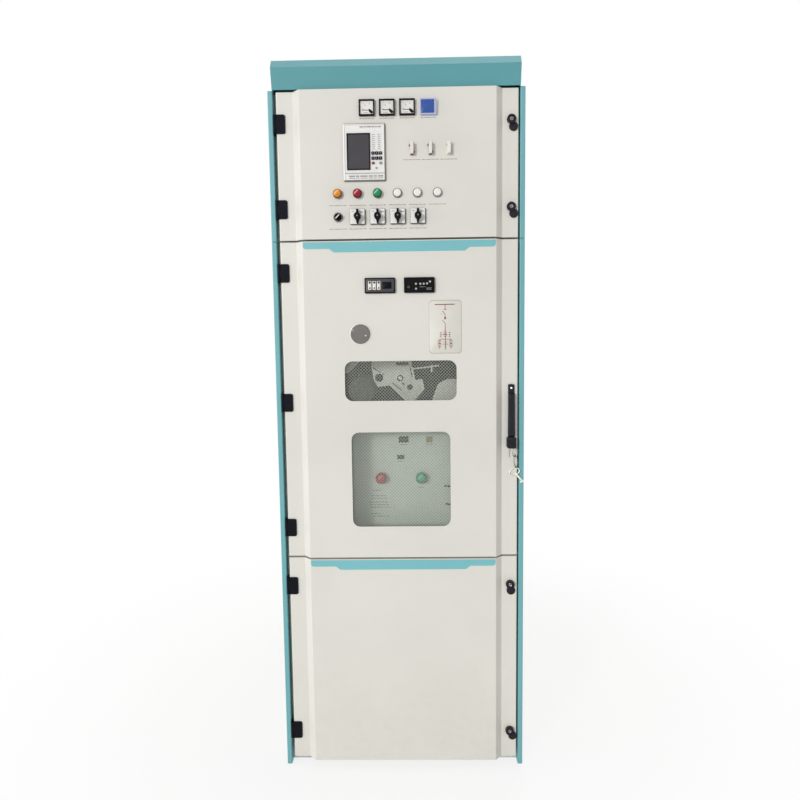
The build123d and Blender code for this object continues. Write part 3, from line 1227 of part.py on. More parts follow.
# Bracket along the plate's right edge: a rib, a bar that reaches past the plate, and a leg under the bar
with BuildPart() as mechanism_bracket:
    with BuildSketch(front_plane(0, MECHANISM_FORWARD, MECHANISM_Z)):
        with Locations(on_mechanism(RIB_SHARES)):
            Rectangle(RIB_WIDTH, RIB_LENGTH, rotation=RIB_ANGLE)
        with Locations(on_mechanism(BAR_SHARES)):
            Rectangle(BAR_LENGTH, BAR_WIDTH, rotation=BAR_ANGLE)
        with Locations(on_mechanism(LEG_SHARES)):
            Rectangle(LEG_WIDTH, LEG_LENGTH)
    extrude(amount=BRACKET_REACH)
mechanism_bracket.part.label = "mechanism_bracket"
export_step(mechanism_bracket.part, "parts/mechanism_bracket.step")

# Mechanism hub: a dished boss with a hexagon bolt head in it
with BuildPart() as mechanism_hub:
    with BuildSketch(front_plane(0, MECHANISM_FORWARD, MECHANISM_Z)):
        Circle(HUB_RADIUS)
    extrude(amount=HUB_REACH)
    with BuildSketch(front_plane(0, MECHANISM_FORWARD + HUB_REACH, MECHANISM_Z)):
        Circle(HUB_RECESS_RADIUS)
    extrude(amount=-HUB_RECESS_DEPTH, mode=Mode.SUBTRACT)
    with BuildSketch(front_plane(0, MECHANISM_FORWARD + HUB_REACH - HUB_RECESS_DEPTH, MECHANISM_Z)):
        RegularPolygon(HUB_BOLT_RADIUS, 6)
    extrude(amount=HUB_BOLT_REACH)
mechanism_hub.part.label = "mechanism_hub"
export_step(mechanism_hub.part, "parts/mechanism_hub.step")
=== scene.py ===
from math import atan2, cos, degrees, radians, sin

import bmesh
import bpy
from mathutils import Matrix, Vector


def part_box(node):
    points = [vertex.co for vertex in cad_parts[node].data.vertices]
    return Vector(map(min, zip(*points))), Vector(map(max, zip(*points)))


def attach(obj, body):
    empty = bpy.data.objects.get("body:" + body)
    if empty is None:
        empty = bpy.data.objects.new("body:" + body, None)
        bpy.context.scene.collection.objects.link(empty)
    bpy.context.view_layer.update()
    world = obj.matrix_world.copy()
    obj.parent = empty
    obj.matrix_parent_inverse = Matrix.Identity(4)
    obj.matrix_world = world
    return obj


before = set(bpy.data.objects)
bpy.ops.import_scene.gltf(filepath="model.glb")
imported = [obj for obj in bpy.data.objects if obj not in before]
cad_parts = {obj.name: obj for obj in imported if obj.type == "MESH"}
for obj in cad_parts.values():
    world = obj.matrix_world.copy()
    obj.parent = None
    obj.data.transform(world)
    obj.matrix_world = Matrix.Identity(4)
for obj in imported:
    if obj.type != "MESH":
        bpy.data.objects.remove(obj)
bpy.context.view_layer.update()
bpy.context.scene.view_settings.view_transform = "Standard"


# The photographer's place: in front of the breaker door's head, nearly square to the cabinet,
# with the camera tipped down a little so that the uprights run together towards the floor.
camera_data = bpy.data.cameras.new("camera")
camera_data.lens = 30.6
camera = bpy.data.objects.new("camera", camera_data)
bpy.context.scene.collection.objects.link(camera)
camera.matrix_world = (
    Matrix.Translation((0.045, -2.935, 1.461))
    @ Matrix.Rotation(radians(1.17), 4, "Z")
    @ Matrix.Rotation(radians(90 - 5.63), 4, "X")
    @ Matrix.Rotation(radians(-0.74), 4, "Z")
)
bpy.context.scene.camera = camera


# The studio: a pale floor that keeps the shadow near the cabinet and fades to the white
# backdrop, a far lamp in front on the left, a softbox at the left, a lamp over the top and
# one behind.
class Wire:
    """A shader socket that takes Python sums: each operator adds a Math node to its tree."""

    def __init__(self, tree, socket=None):
        self.tree = tree
        self.socket = socket

    def node(self, kind, settings=None, sockets=None, out=0):
        """A new node of that kind, with its settings made first and then its sockets' values or links."""
        made = self.tree.nodes.new(kind)
        for name, value in (settings or {}).items():
            setattr(made, name, value)
        for key, value in (sockets or {}).items():
            if isinstance(value, Wire):
                self.tree.links.new(value.socket, made.inputs[key])
            else:
                made.inputs[key].default_value = value
        return Wire(self.tree, made.outputs[out] if made.outputs else None)

    def sum(self, operation, first, second):
        return self.node("ShaderNodeMath", {"operation": operation}, {0: first, 1: second})

    def __add__(self, other):
        return self.sum("ADD", self, other)

    def __radd__(self, other):
        return self.sum("ADD", other, self)

    def __sub__(self, other):
        return self.sum("SUBTRACT", self, other)

    def __rsub__(self, other):
        return self.sum("SUBTRACT", other, self)

    def __mul__(self, other):
        return self.sum("MULTIPLY", self, other)

    def __rmul__(self, other):
        return self.sum("MULTIPLY", other, self)

    def ramp(self, low, high, start=0.0, end=1.0):
        """This value eased from start, where it is at low, to end, where it is at high."""
        return self.node(
            "ShaderNodeMapRange",
            {"interpolation_type": "SMOOTHSTEP"},
            {"Value": self, "From Min": low, "From Max": high, "To Min": start, "To Max": end},
        )

    def blend(self, first, second):
        """A colour from first, where this value is 0, to second, where it is 1."""
        return self.node(
            "ShaderNodeMix",
            {"data_type": "RGBA"},
            {"Factor": self, 6: first, 7: second},
            out=2,
        )


def tint(code):
    """The linear colour of a paint chart's hex code."""
    shares = [int(code[i:i + 2], 16) / 255 for i in (0, 2, 4)]
    return [((share + 0.055) / 1.055) ** 2.4 for share in shares] + [1.0]


def empty_material(name):
    """A material with a bare tree, and a wire to start its nodes from."""
    material = bpy.data.materials.new(name)
    material.use_nodes = True
    material.node_tree.nodes.clear()
    return material, Wire(material.node_tree)


def seen_straight(wire):
    """One where a ray comes from the camera, a mirror or a pane, and nought for the light that bounces."""
    path = "ShaderNodeLightPath"
    direct = wire.node(path, out=0) + wire.node(path, out=3) + wire.node(path, out=6)
    return wire.node("ShaderNodeClamp", {}, {"Value": direct})


bpy.ops.object.select_all(action="DESELECT")
bpy.ops.mesh.primitive_circle_add(vertices=96, radius=30, fill_type="NGON")
floor = bpy.context.object
floor.name = "studio_floor"
bpy.ops.object.mode_set(mode="EDIT")
bpy.ops.mesh.select_all(action="SELECT")
bpy.ops.mesh.inset(thickness=24)
bpy.ops.object.mode_set(mode="OBJECT")
material, wire = empty_material("studio_floor")
place = wire.node("ShaderNodeTexCoord", out=3)
away = wire.node("ShaderNodeVectorMath", {"operation": "LENGTH"}, {0: place}, out=1)
matt = wire.node("ShaderNodeBsdfDiffuse", {}, {"Color": tint("F2F2F0")})
white = wire.node("ShaderNodeEmission", {}, {"Color": (1, 1, 1, 1), "Strength": 1})
fade = away.ramp(0.6, 2.0, 0.8, 1.0) * seen_straight(wire)
surface = wire.node("ShaderNodeMixShader", {}, {0: fade, 1: matt, 2: white})
wire.node("ShaderNodeOutputMaterial", {}, {"Surface": surface})
floor.data.materials.append(material)

world = bpy.data.worlds.new("studio")
world.use_nodes = True
world.node_tree.nodes.clear()
bpy.context.scene.world = world
wire = Wire(world.node_tree)
strength = seen_straight(wire).ramp(0, 1, 0.46, 1)
backdrop = wire.node("ShaderNodeBackground", {}, {"Color": (1, 1, 1, 1), "Strength": strength})
wire.node("ShaderNodeOutputWorld", {}, {"Surface": backdrop})

for name, kind, place, aim, size, power in [
    ("key_lamp", "SUN", (-2.6, -5.2, 2.6), (0, -0.75, 1.5), radians(12), 1.5),
    ("side_lamp", "AREA", (-4.2, -1.5, 1.6), (0, -0.75, 1.3), 3.0, 40),
    ("top_lamp", "AREA", (0.2, 0.6, 5.0), (0, 0, 2.0), 2.6, 40),
    ("rear_lamp", "AREA", (1.5, 4.4, 2.8), (0, 0.7, 1.2), 2.4, 90),
]:
    lamp = bpy.data.lights.new(name, kind)
    setattr(lamp, "angle" if kind == "SUN" else "size", size)
    lamp.energy = power
    stand = bpy.data.objects.new(name, lamp)
    bpy.context.scene.collection.objects.link(stand)
    stand.location = place
    stand.rotation_euler = (Vector(aim) - Vector(place)).to_track_quat("-Z", "Y").to_euler()


# The cabinet's sheet steel: folded panels under a cream powder coat with a fine orange peel,
# a little dust low down and slightly uneven gloss, as a baked coat has.
def finish(name, **constants):
    """A material with one Principled shader, whose constants sit on the shader's own sockets."""
    material, wire = empty_material(name)
    sockets = {socket.replace("_", " "): value for socket, value in constants.items()}
    shader = wire.node("ShaderNodeBsdfPrincipled", {}, sockets)
    wire.node("ShaderNodeOutputMaterial", {}, {"Surface": shader})
    return material, wire, shader


def feed(wire, shader, **sources):
    """Links what varies over a surface to the shader's sockets."""
    inputs = shader.socket.node.inputs
    for socket, source in sources.items():
        wire.tree.links.new(source.socket, inputs[socket.replace("_", " ")])


def noise(wire, place, scale, detail=2.0):
    """Smooth grain about 1 / scale metres across, from nought to one."""
    sockets = {"Vector": place, "Scale": scale, "Detail": detail}
    return wire.node("ShaderNodeTexNoise", {}, sockets)


def bump(wire, height, distance, strength=1.0):
    sockets = {"Height": height, "Distance": distance, "Strength": strength}
    return wire.node("ShaderNodeBump", {}, sockets)


def dress(material, *nodes):
    """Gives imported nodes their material."""
    for node in nodes:
        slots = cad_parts[node].data.materials
        slots.clear()
        slots.append(material)


def deeper(code, share):
    """A paint chart's colour taken down to a share of its light."""
    return [share * light for light in tint(code)[:3]] + [1.0]


def powder_coat(name, code, dust_code, gloss):
    """Baked powder paint: orange peel about 2 mm across, cloudy colour and gloss, dust near the floor."""
    material, wire, shader = finish(name, Specular_IOR_Level=0.45, Coat_Roughness=0.3)
    place = wire.node("ShaderNodeTexCoord", out=3)
    height = wire.node("ShaderNodeSeparateXYZ", {}, {0: place}, out=2)
    cloud = noise(wire, place, 3.5, 4.0)
    peel = noise(wire, place, 420.0, 1.0)
    dust = noise(wire, place, 38.0, 6.0) * height.ramp(0.0, 0.55, 0.55, 0.12)
    pale = cloud.ramp(0.3, 0.75).blend(tint(code), deeper(code, 0.955))
    colour = (dust * 0.42).blend(pale, tint(dust_code))
    feed(
        wire,
        shader,
        Base_Color=colour,
        Roughness=gloss + 0.1 * cloud + 0.12 * dust,
        Coat_Weight=cloud.ramp(0.25, 0.8, 0.22, 0.08),
        Normal=bump(wire, peel, 0.00012, 0.5),
    )
    return material


cream_coat = powder_coat("cream_coat", "E1DFD7", "B9B2A2", 0.36)
dress(cream_coat, "left_side_wall", "right_side_wall", "rear_covers")
dress(cream_coat, "instrument_door", "breaker_door", "cable_door")


# The front frame: posts, fascia and the doors' strips in teal powder coat, the same process
# as the cream panels with more gloss. The posts and the fascia take darker copies of the teal
# as painted shade.
teal_coat = powder_coat("teal_coat", "79BFC6", "6A8A8A", 0.32)
dress(teal_coat, "breaker_door_strip", "cable_door_strip")
# Painted shade: a darker teal on the posts, and darker still on the fascia.
dress(powder_coat("post_teal_shaded", "6EAFB5", "5F8484", 0.34), "corner_posts")
dress(powder_coat("fascia_teal_shaded", "5A9EA5", "557A7B", 0.34), "top_fascia")


# Bare galvanised sheet: roof, relief flaps, shelves, compartment backs, rails and base, with
# the coating's spangle in flakes a few millimetres across.
def galvanised(name, code, dark_code, metal=0.75):
    """Zinc coated sheet: flakes of slightly different grey and gloss over a cloudy film."""
    material, wire, shader = finish(name, Metallic=metal)
    place = wire.node("ShaderNodeTexCoord", out=3)
    flakes = wire.node("ShaderNodeTexVoronoi", {}, {"Vector": place, "Scale": 190.0}, out=1)
    flake = wire.node("ShaderNodeSeparateXYZ", {}, {0: flakes})
    cloud = noise(wire, place, 9.0, 5.0)
    grey = (0.5 * flake + 0.5 * cloud).ramp(0.1, 0.9).blend(tint(dark_code), tint(code))
    feed(wire, shader, Base_Color=grey, Roughness=0.34 + 0.16 * flake + 0.1 * cloud)
    return material


zinc_sheet = galvanised("zinc_sheet", "C6CACB", "A4AAAD")
dress(
    zinc_sheet,
    "roof_panel",
    "relief_flaps",
    "base_frame",
    "floor_plate",
    "front_crossbars",
    "compartment_shelves",
    "compartment_backs",
    "truck_rails",
    "window_clamps",
)


# Black hardware: hinges, cylinder locks and the lift handle, cast or folded metal under a
# satin black stove enamel that is rubbed a little paler on its high spots.
def black_enamel(name, code, rubbed_code, gloss, shine):
    """Black paint or plastic: cloudy where it is rubbed, with a fine grain."""
    material, wire, shader = finish(name, Specular_IOR_Level=shine)
    place = wire.node("ShaderNodeTexCoord", out=3)
    cloud = noise(wire, place, 60.0, 5.0)
    grain = noise(wire, place, 900.0, 2.0)
    colour = cloud.ramp(0.45, 0.8).blend(tint(code), tint(rubbed_code))
    feed(
        wire,
        shader,
        Base_Color=colour,
        Roughness=gloss + 0.18 * cloud,
        Normal=bump(wire, grain, 0.00008, 0.5),
    )
    return material


black_metal = black_enamel("black_metal", "12131A", "24252D", 0.36, 0.25)
dress(
    black_metal,
    "instrument_door_locks",
    "cable_door_locks",
    "handle_base",
    "handle_lever",
)
hinge_black = black_enamel("hinge_black", "080B14", "10131C", 0.45, 0.1)
dress(hinge_black, "post_hinges", "instrument_door_hinges", "breaker_door_hinges", "cable_door_hinges")


# Screws in the hinge leaves and the handle's tab: blackened or zinc plated pan heads with a
# cross slot, two to a leaf.
MM = 0.001


def pick(kind, test):
    """In edit mode, selects only the edges or faces that pass a test."""
    bpy.ops.mesh.select_mode(type="EDGE" if kind == "edges" else "FACE")
    bpy.ops.mesh.select_all(action="DESELECT")
    form = bmesh.from_edit_mesh(bpy.context.object.data)
    for item in getattr(form, kind):
        if test(item):
            item.select_set(True)
    bmesh.update_edit_mesh(bpy.context.object.data)


def set_at(x, forward, z, turn=0.0):
    """Sets the piece just shaped at its place on the front, in millimetres, and fixes that in its mesh."""
    piece = bpy.context.object
    piece.location = (x * MM, -forward * MM, z * MM)
    piece.rotation_euler = (0, -radians(turn), 0)
    bpy.ops.object.transform_apply(location=True, rotation=True, scale=True)
    return piece


def disc(x, z, radius, back, reach, rim=0.0, dish=0.0, sides=24):
    """A turned disc from back forward by reach, in millimetres: round rim, and dished middle if asked."""
    bpy.ops.object.select_all(action="DESELECT")
    bpy.ops.mesh.primitive_cylinder_add(
        vertices=sides, radius=radius * MM, depth=reach * MM, rotation=(radians(90), 0, 0)
    )
    bpy.ops.object.transform_apply(rotation=True)
    bpy.ops.object.mode_set(mode="EDIT")
    front = -0.49 * reach * MM
    pick("edges", lambda edge: all(corner.co.y < front for corner in edge.verts))
    if rim:
        bpy.ops.mesh.bevel(offset=rim * MM, segments=2)
    if dish:
        pick("faces", lambda face: face.normal.y < -0.99 and len(face.verts) == sides)
        bpy.ops.mesh.inset(thickness=dish * MM)
        bpy.ops.transform.translate(value=(0, 0.5 * dish * MM, 0))
    bpy.ops.object.mode_set(mode="OBJECT")
    return set_at(x, back + reach / 2, z)


def plate(x, z, width, height, back, reach, corner=0.0, rim=0.15, turn=0.0):
    """A small plate from back forward by reach, in millimetres, with round corners if asked."""
    bpy.ops.object.select_all(action="DESELECT")
    bpy.ops.mesh.primitive_cube_add(size=1)
    bpy.context.object.scale = (width * MM, reach * MM, height * MM)
    bpy.ops.object.transform_apply(scale=True)
    bpy.ops.object.mode_set(mode="EDIT")
    if corner:
        pick("edges", lambda edge: abs(edge.verts[0].co.y - edge.verts[1].co.y) > 0.5 * reach * MM)
        bpy.ops.mesh.bevel(offset=corner * MM, segments=4)
    front = -0.49 * reach * MM
    pick("edges", lambda edge: all(end.co.y < front for end in edge.verts))
    bpy.ops.mesh.bevel(offset=min(rim, 0.45 * reach) * MM, segments=2)
    bpy.ops.object.mode_set(mode="OBJECT")
    return set_at(x, back + reach / 2, z, turn)


def join(name, pieces):
    """Joins pieces into one, by that name."""
    bpy.ops.object.select_all(action="DESELECT")
    for piece in pieces:
        piece.select_set(True)
    bpy.context.view_layer.objects.active = pieces[0]
    if len(pieces) > 1:
        bpy.ops.object.join()
    made = bpy.context.object
    made.name = made.data.name = name
    return made


def fit(piece, material, body):
    """Gives a new piece its material, smooth shading and its body."""
    piece.data.materials.clear()
    piece.data.materials.append(material)
    bpy.ops.object.select_all(action="DESELECT")
    piece.select_set(True)
    bpy.context.view_layer.objects.active = piece
    bpy.ops.object.shade_smooth_by_angle(angle=radians(35))
    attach(piece, body)
    return piece


def face(node):
    """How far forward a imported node's front is, in millimetres."""
    return -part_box(node)[0].y / MM


def screw(x, z, radius, back, turn):
    """A pan head with a cross slot, sunk where the blade goes."""
    head = disc(x, z, radius, back, 0.45 * radius, 0.2 * radius, 0.3 * radius, 16)
    slots = [plate(x, z, 1.3 * radius, 0.22 * radius, back, 0.5 * radius, turn=turn + a) for a in (0, 90)]
    return [head, *slots]


DOOR_FACE = 750
HINGE_X, LEAF_STEP, LEAF_SCREW_RISE, LEAF_SCREW = -358, 4.5, 15, 4
for door, heights in [
    ("instrument_door", (1856, 2120)),
    ("breaker_door", (827, 1240, 1654)),
    ("cable_door", (126, 626)),
]:
    leaf_face = face(door + "_hinges") - LEAF_STEP
    heads = []
    for height in heights:
        for rise in (-LEAF_SCREW_RISE, LEAF_SCREW_RISE):
            heads += screw(HINGE_X, height + rise, LEAF_SCREW, leaf_face, height % 50)
    fit(join(door + "_hinge_screws", heads), hinge_black, door)


# Bright work on the locks and the handle: the cylinders' nickel-plated keyholes, the screw in
# the handle's tab, and the stamped key that hangs from the handle's lock on wire rings.
def bright_metal(name, code, dull_code):
    """Nickel plate: nearly mirror bright, clouded by handling."""
    material, wire, shader = finish(name, Metallic=1.0)
    place = wire.node("ShaderNodeTexCoord", out=3)
    cloud = noise(wire, place, 130.0, 4.0)
    feed(
        wire,
        shader,
        Base_Color=cloud.ramp(0.35, 0.7).blend(tint(code), tint(dull_code)),
        Roughness=0.2 + 0.25 * cloud,
    )
    return material


nickel = bright_metal("nickel", "DCDAD4", "B4B1AA")
dull_nickel = bright_metal("dull_nickel", "A9A7A0", "85837D")
LOCK_X = 356
for door, heights in [("instrument_door", (1850, 2114)), ("cable_door", (122, 631))]:
    barrel = face(door + "_locks")
    rings = [disc(LOCK_X, height, 5.2, barrel - 6, 5.6, 0.8, 1.6) for height in heights]
    fit(join(door + "_keyholes", rings), dull_nickel, door)
    slots = [plate(LOCK_X, height, 7.5, 2.4, barrel - 3, 2.9, 0.8, 0.3, 12) for height in heights]
    fit(join(door + "_key_slots", slots), black_metal, door)

HANDLE_X, TAB_SCREW_Z, TAB_FACE = 358, 1281, DOOR_FACE + 5
tab_screw = screw(HANDLE_X, TAB_SCREW_Z, 3.6, TAB_FACE, 30)
fit(join("handle_tab_screw", tab_screw), nickel, "breaker_door")


def wire_ring(x, z, half_width, half_height, thickness, forward, turn=0.0):
    """A ring bent from round wire, oval as asked, hanging flat against the door."""
    bpy.ops.object.select_all(action="DESELECT")
    wire_share = 0.12
    bpy.ops.mesh.primitive_torus_add(
        major_radius=1,
        minor_radius=wire_share,
        major_segments=32,
        minor_segments=8,
        rotation=(radians(90), 0, 0),
    )
    bpy.ops.object.transform_apply(rotation=True)
    bpy.ops.object.mode_set(mode="EDIT")
    bpy.ops.mesh.select_all(action="SELECT")
    slim = thickness / wire_share * MM
    bpy.ops.transform.resize(value=(half_width * MM, slim, half_height * MM))
    bpy.ops.object.mode_set(mode="OBJECT")
    return set_at(x, forward, z, turn)


rings = [
    wire_ring(370, 1074, 7.5, 14, 1.1, 764, -14),
    wire_ring(372.5, 1043, 6, 20, 1.2, 757, 3),
    plate(353, 1072, 0.9, 34, 752.5, 0.9, rim=0.2, turn=-4),
]
dark_steel = bright_metal("dark_steel", "77756F", "5A5853")
fit(join("key_rings", rings), dark_steel, "breaker_door")
key = [
    wire_ring(368.5, 1008, 17, 11.5, 2.2, 754, 24),
    plate(385, 988, 38, 5.6, 752.6, 2.6, 1.2, 0.6, -49),
    plate(390.5, 975, 5, 9, 752.8, 2.2, 0.5, 0.4, -49),
    plate(395.5, 977.5, 4, 7, 752.8, 2.2, 0.5, 0.4, -49),
]
fit(join("door_key", key), galvanised("key_metal", "F0EEE4", "DEDCD2"), "breaker_door")


# Instrument bodies: black moulded plastic with a fine spark-eroded grain for the meters, the
# switch knobs and the controllers, and white for the relay, the links and the switch plates.
black_plastic = black_enamel("black_plastic", "09090B", "131316", 0.45, 0.1)
dress(black_plastic, "meter_cases", "door_controllers", "breaker_indicators", "truck_wheels")
dress(black_plastic, "selector_knob", *[f"cam_switch_knob_{number}" for number in range(1, 5)])


def moulded(name, code, shade_code, gloss):
    """Moulded plastic with a soft cloud of tone and a fine grain."""
    material, wire, shader = finish(name, Specular_IOR_Level=0.5)
    place = wire.node("ShaderNodeTexCoord", out=3)
    cloud = noise(wire, place, 24.0, 3.0)
    grain = noise(wire, place, 1300.0, 1.0)
    feed(
        wire,
        shader,
        Base_Color=cloud.ramp(0.3, 0.75).blend(tint(code), tint(shade_code)),
        Roughness=gloss + 0.1 * cloud,
        Normal=bump(wire, grain, 0.00005, 0.4),
    )
    return material


def from_middle(wire, x, z):
    """How far across, up and out a point of a front surface is from a place on it, in metres."""
    place = wire.node("ShaderNodeTexCoord", out=3)
    sockets = {"Vector": place, "Location": (-x * MM, 0, -z * MM), "Scale": (1, 0, 1)}
    middle = wire.node("ShaderNodeMapping", {"vector_type": "POINT"}, sockets)
    across = wire.node("ShaderNodeSeparateXYZ", {}, {0: middle}, out=0)
    up = wire.node("ShaderNodeSeparateXYZ", {}, {0: middle}, out=2)
    out = wire.node("ShaderNodeVectorMath", {"operation": "LENGTH"}, {0: middle}, out=1)
    return across, up, out


def with_edge_shade(name, code, edge_shade_code, x, z, width, height, shade_margins, pitch=1000):
    """White plastic with painted shade in grey along its edges: shade margins at left, right, top and foot,
    and the pitch of a row.
    """
    material, wire, shader = finish(name, Specular_IOR_Level=0.5)
    across, up = from_middle(wire, x, z)[:2]
    sockets = {0: across, 1: pitch / 2 * MM, 2: -pitch / 2 * MM}
    across = wire.node("ShaderNodeMath", {"operation": "WRAP"}, sockets)
    left, right, top, foot = shade_margins
    soft = 0.4 * MM
    edge = 0.0
    # Painted shade: grey bands along the edges, for the shaded chamfers and contact shadow.
    for value, half, low, high in [(across, width / 2, left, right), (up, height / 2, foot, top)]:
        start, end = (low - half) * MM, (half - high) * MM
        edge = edge + value.ramp(start - soft, start, 1, 0) + value.ramp(end, end + soft)
    edge = wire.node("ShaderNodeClamp", {}, {"Value": edge})
    cloud = noise(wire, wire.node("ShaderNodeTexCoord", out=3), 24.0, 3.0)
    white = cloud.ramp(0.3, 0.75).blend(tint(code), deeper(code, 0.93))
    colour = edge.blend(white, tint(edge_shade_code))
    feed(wire, shader, Base_Color=colour, Roughness=0.3 + 0.1 * cloud + 0.1 * edge)
    return material


white_plastic = moulded("white_plastic", "ECEAE6", "E0DDD8", 0.32)
dress(white_plastic, "trip_links", "meter_dials")
RELAY_X, RELAY_Z, RELAY_WIDTH, RELAY_HEIGHT = -99.5, 2016, 131, 173
relay_size = (RELAY_X, RELAY_Z, RELAY_WIDTH, RELAY_HEIGHT)
# Painted shade along the relay's edges, widest at the right and the foot.
RELAY_SHADE_MARGINS = (0.6, 3.4, 2.0, 3.4)
dress(with_edge_shade("relay_plastic", "EFEDEA", "7C7A74", *relay_size, RELAY_SHADE_MARGINS), "relay_case")
SWITCH_Z = 1822
CAM_PITCH = 62.5
CAM_XS = [-123.5 + CAM_PITCH * count for count in range(4)]
low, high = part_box("cam_switch_plates")
plate_size = ((high.x - low.x) / MM - 3 * CAM_PITCH, (high.z - low.z) / MM)
first_plate = (CAM_XS[0], SWITCH_Z, *plate_size)
# Painted shade along the plates' edges, widest at the right and the foot.
CAM_SHADE_MARGINS = (1.0, 2.6, 1.0, 2.6)
cam_plate_white = with_edge_shade("cam_plate_white", "F8F7F4", "55544F", *first_plate, CAM_SHADE_MARGINS, CAM_PITCH)
dress(cam_plate_white, "cam_switch_plates")
grey_plastic = moulded("grey_plastic", "706F6A", "64635E", 0.4)
dress(grey_plastic, "trip_cover")
ink = moulded("ink", "4E4D4C", "62605E", 0.6)
pale_ink = moulded("pale_ink", "8B8985", "9C9A95", 0.6)


# Pointer meters: scales printed on white plastic dials, a black tin pointer swung over to the
# left and the moulded black boss of its movement low on the right.
PRINT = 0.15


def caption(x, z, width, back, height=2.0):
    """A line of print: dashes of uneven length."""
    dashes = []
    left = x - width / 2
    for share in (0.17, 0.09, 0.21, 0.12, 0.08, 0.15):
        dashes.append(plate(left + share * width / 2, z, share * width, height, back, PRINT))
        left += (share + 0.036) * width
    return dashes


METER_Z = 2149
METER_XS = (-90, -28, 34)
SCALE_STEPS, SCALE_START, SCALE_STEP, SCALE_RADIUS, FIGURE_RADIUS = 11, 172, 8.4, 24, 18.5
dial_face = face("meter_dials")
needles = []
scales = []
for x in METER_XS:
    pivot = Vector((x + 8, METER_Z - 8))
    needles.append(plate(pivot.x - 10, pivot.y + 0.6, 23, 1.7, dial_face, 0.6, turn=-2))
    needles.append(plate(pivot.x + 1, pivot.y + 0.5, 6, 5.5, dial_face, 1.4, 1.2, 0.4, -40))
    needles.append(plate(pivot.x + 5.2, pivot.y - 4.0, 13, 8.0, dial_face, 1.8, 3.6, 0.6, -42))
    for step in range(SCALE_STEPS):
        turn = SCALE_START - SCALE_STEP * step
        way = Vector((cos(radians(turn)), sin(radians(turn))))
        length, width = (2, 0.5) if step % 5 else (3.6, 0.9)
        tick = pivot + way * (SCALE_RADIUS - length / 2)
        scales.append(plate(tick.x, tick.y, length, width, dial_face, PRINT, turn=turn))
        if step % 5 == 0:
            figure = pivot + way * FIGURE_RADIUS
            scales.append(plate(figure.x, figure.y, 2.6, 2.2, dial_face, PRINT, 0.4))
    scales += caption(x - 3, METER_Z - 15, 12, dial_face, 1.2)
    scales += caption(x - 12, METER_Z + 14, 6, dial_face, 1.6)
fit(join("meter_needles", needles), black_plastic, "instrument_door")
fit(join("meter_scales", scales), pale_ink, "instrument_door")


# Digital meter still in its shop film: a pale bezel, a deep blue film over the display and a
# loose edge of clear film along the right side.
pale_bezel = moulded("pale_bezel", "B9BEDA", "AEB4D2", 0.28)
dress(pale_bezel, "digital_meter")
blue_film = moulded("blue_film", "2C54A6", "254C9A", 0.22)
DIGITAL_X = 98
digital_face = face("digital_meter")
film = plate(DIGITAL_X - 1.6, METER_Z, 40.5, 40, digital_face, 0.6, 1.2, 0.3)
fit(join("display_film", [film]), blue_film, "instrument_door")
loose_edge = plate(DIGITAL_X + 25.5, METER_Z - 2, 6, 42, digital_face - 3.5, 0.4, 0.6, 0.1, -2)
clear_film = moulded("clear_film", "CFD0DC", "C4C6D4", 0.2)
fit(join("film_edge", [loose_edge]), clear_film, "instrument_door")


# Protection relay: a white moulded case let into the door, with a black-framed display, two
# columns of small lamps, two rows of rubber keys with pale marks, and a fold over its foot.
dark_screen = moulded("dark_screen", "39363C", "323035", 0.2)
dress(dark_screen, "relay_screen")
SCREEN_X, SCREEN_Z, SCREEN_WIDTH, SCREEN_HEIGHT = -117, 2018, 72, 110
relay_face = face("relay_case")
screen_face = face("relay_screen")
frame_back = min(relay_face, screen_face) - 1
frame_reach = max(relay_face, screen_face) - frame_back + 0.5
BORDER = 3.4
dark_bits = []
for side in (-1, 1):
    across = SCREEN_X + side * (SCREEN_WIDTH - BORDER) / 2
    up = SCREEN_Z + side * (SCREEN_HEIGHT - BORDER) / 2
    dark_bits.append(plate(across, SCREEN_Z, BORDER, SCREEN_HEIGHT, frame_back, frame_reach))
    dark_bits.append(plate(SCREEN_X, up, SCREEN_WIDTH - BORDER, BORDER, frame_back, frame_reach))
KEY_XS = (-72.5, -61, -49.5)
KEY_ZS = (2012.7, 1997.5)
LAST_KEYS_Z = 1983
KEY_REACH = 1.4
for z in KEY_ZS:
    for x in KEY_XS:
        dark_bits.append(plate(x, z, 9.6, 9.2, relay_face, KEY_REACH, 1.2, 0.4))
fit(join("relay_display_frame_and_keys", dark_bits), black_plastic, "instrument_door")
marks = []
for z in KEY_ZS:
    for x, turn in zip(KEY_XS, (0, 90, 45)):
        marks.append(plate(x, z, 3.4, 1.0, relay_face + KEY_REACH, PRINT, turn=turn))
        marks.append(plate(x, z, 1.2, 2.2, relay_face + KEY_REACH, 0.2, turn=turn))
fit(join("relay_key_marks", marks), clear_film, "instrument_door")
print_marks = []
for z in range(2026, 2070, 6):
    for x in (-70, -53):
        print_marks.append(disc(x - 2.5, z, 1.3, relay_face, 0.4, 0.15, sides=12))
        print_marks.append(plate(x + 2, z, 3.6, 1.2, relay_face, PRINT))
print_marks.append(disc(-62.6, 1968, 3.0, relay_face, 0.8, 0.3, 0.8))
print_marks += caption(-80, 2091.5, 66, relay_face, 2.4)
print_marks += caption(-95, 1944.5, 106, relay_face, 2.8)
print_marks += caption(-95, 1938.5, 104, relay_face, 1.2)
print_marks.append(plate(-98.5, 1953, 122, 1.4, relay_face, PRINT))
print_marks.append(plate(-49, LAST_KEYS_Z, 9, 7, relay_face, 1.0, 1.2, 0.3))
fit(join("relay_print", print_marks), pale_ink, "instrument_door")
dull_red = moulded("dull_red", "8A3034", "7A282C", 0.45)
red_key = plate(KEY_XS[0], LAST_KEYS_Z, 9, 7, relay_face, 1.2, 1.2, 0.4)
fit(join("relay_red_key", [red_key]), dull_red, "instrument_door")


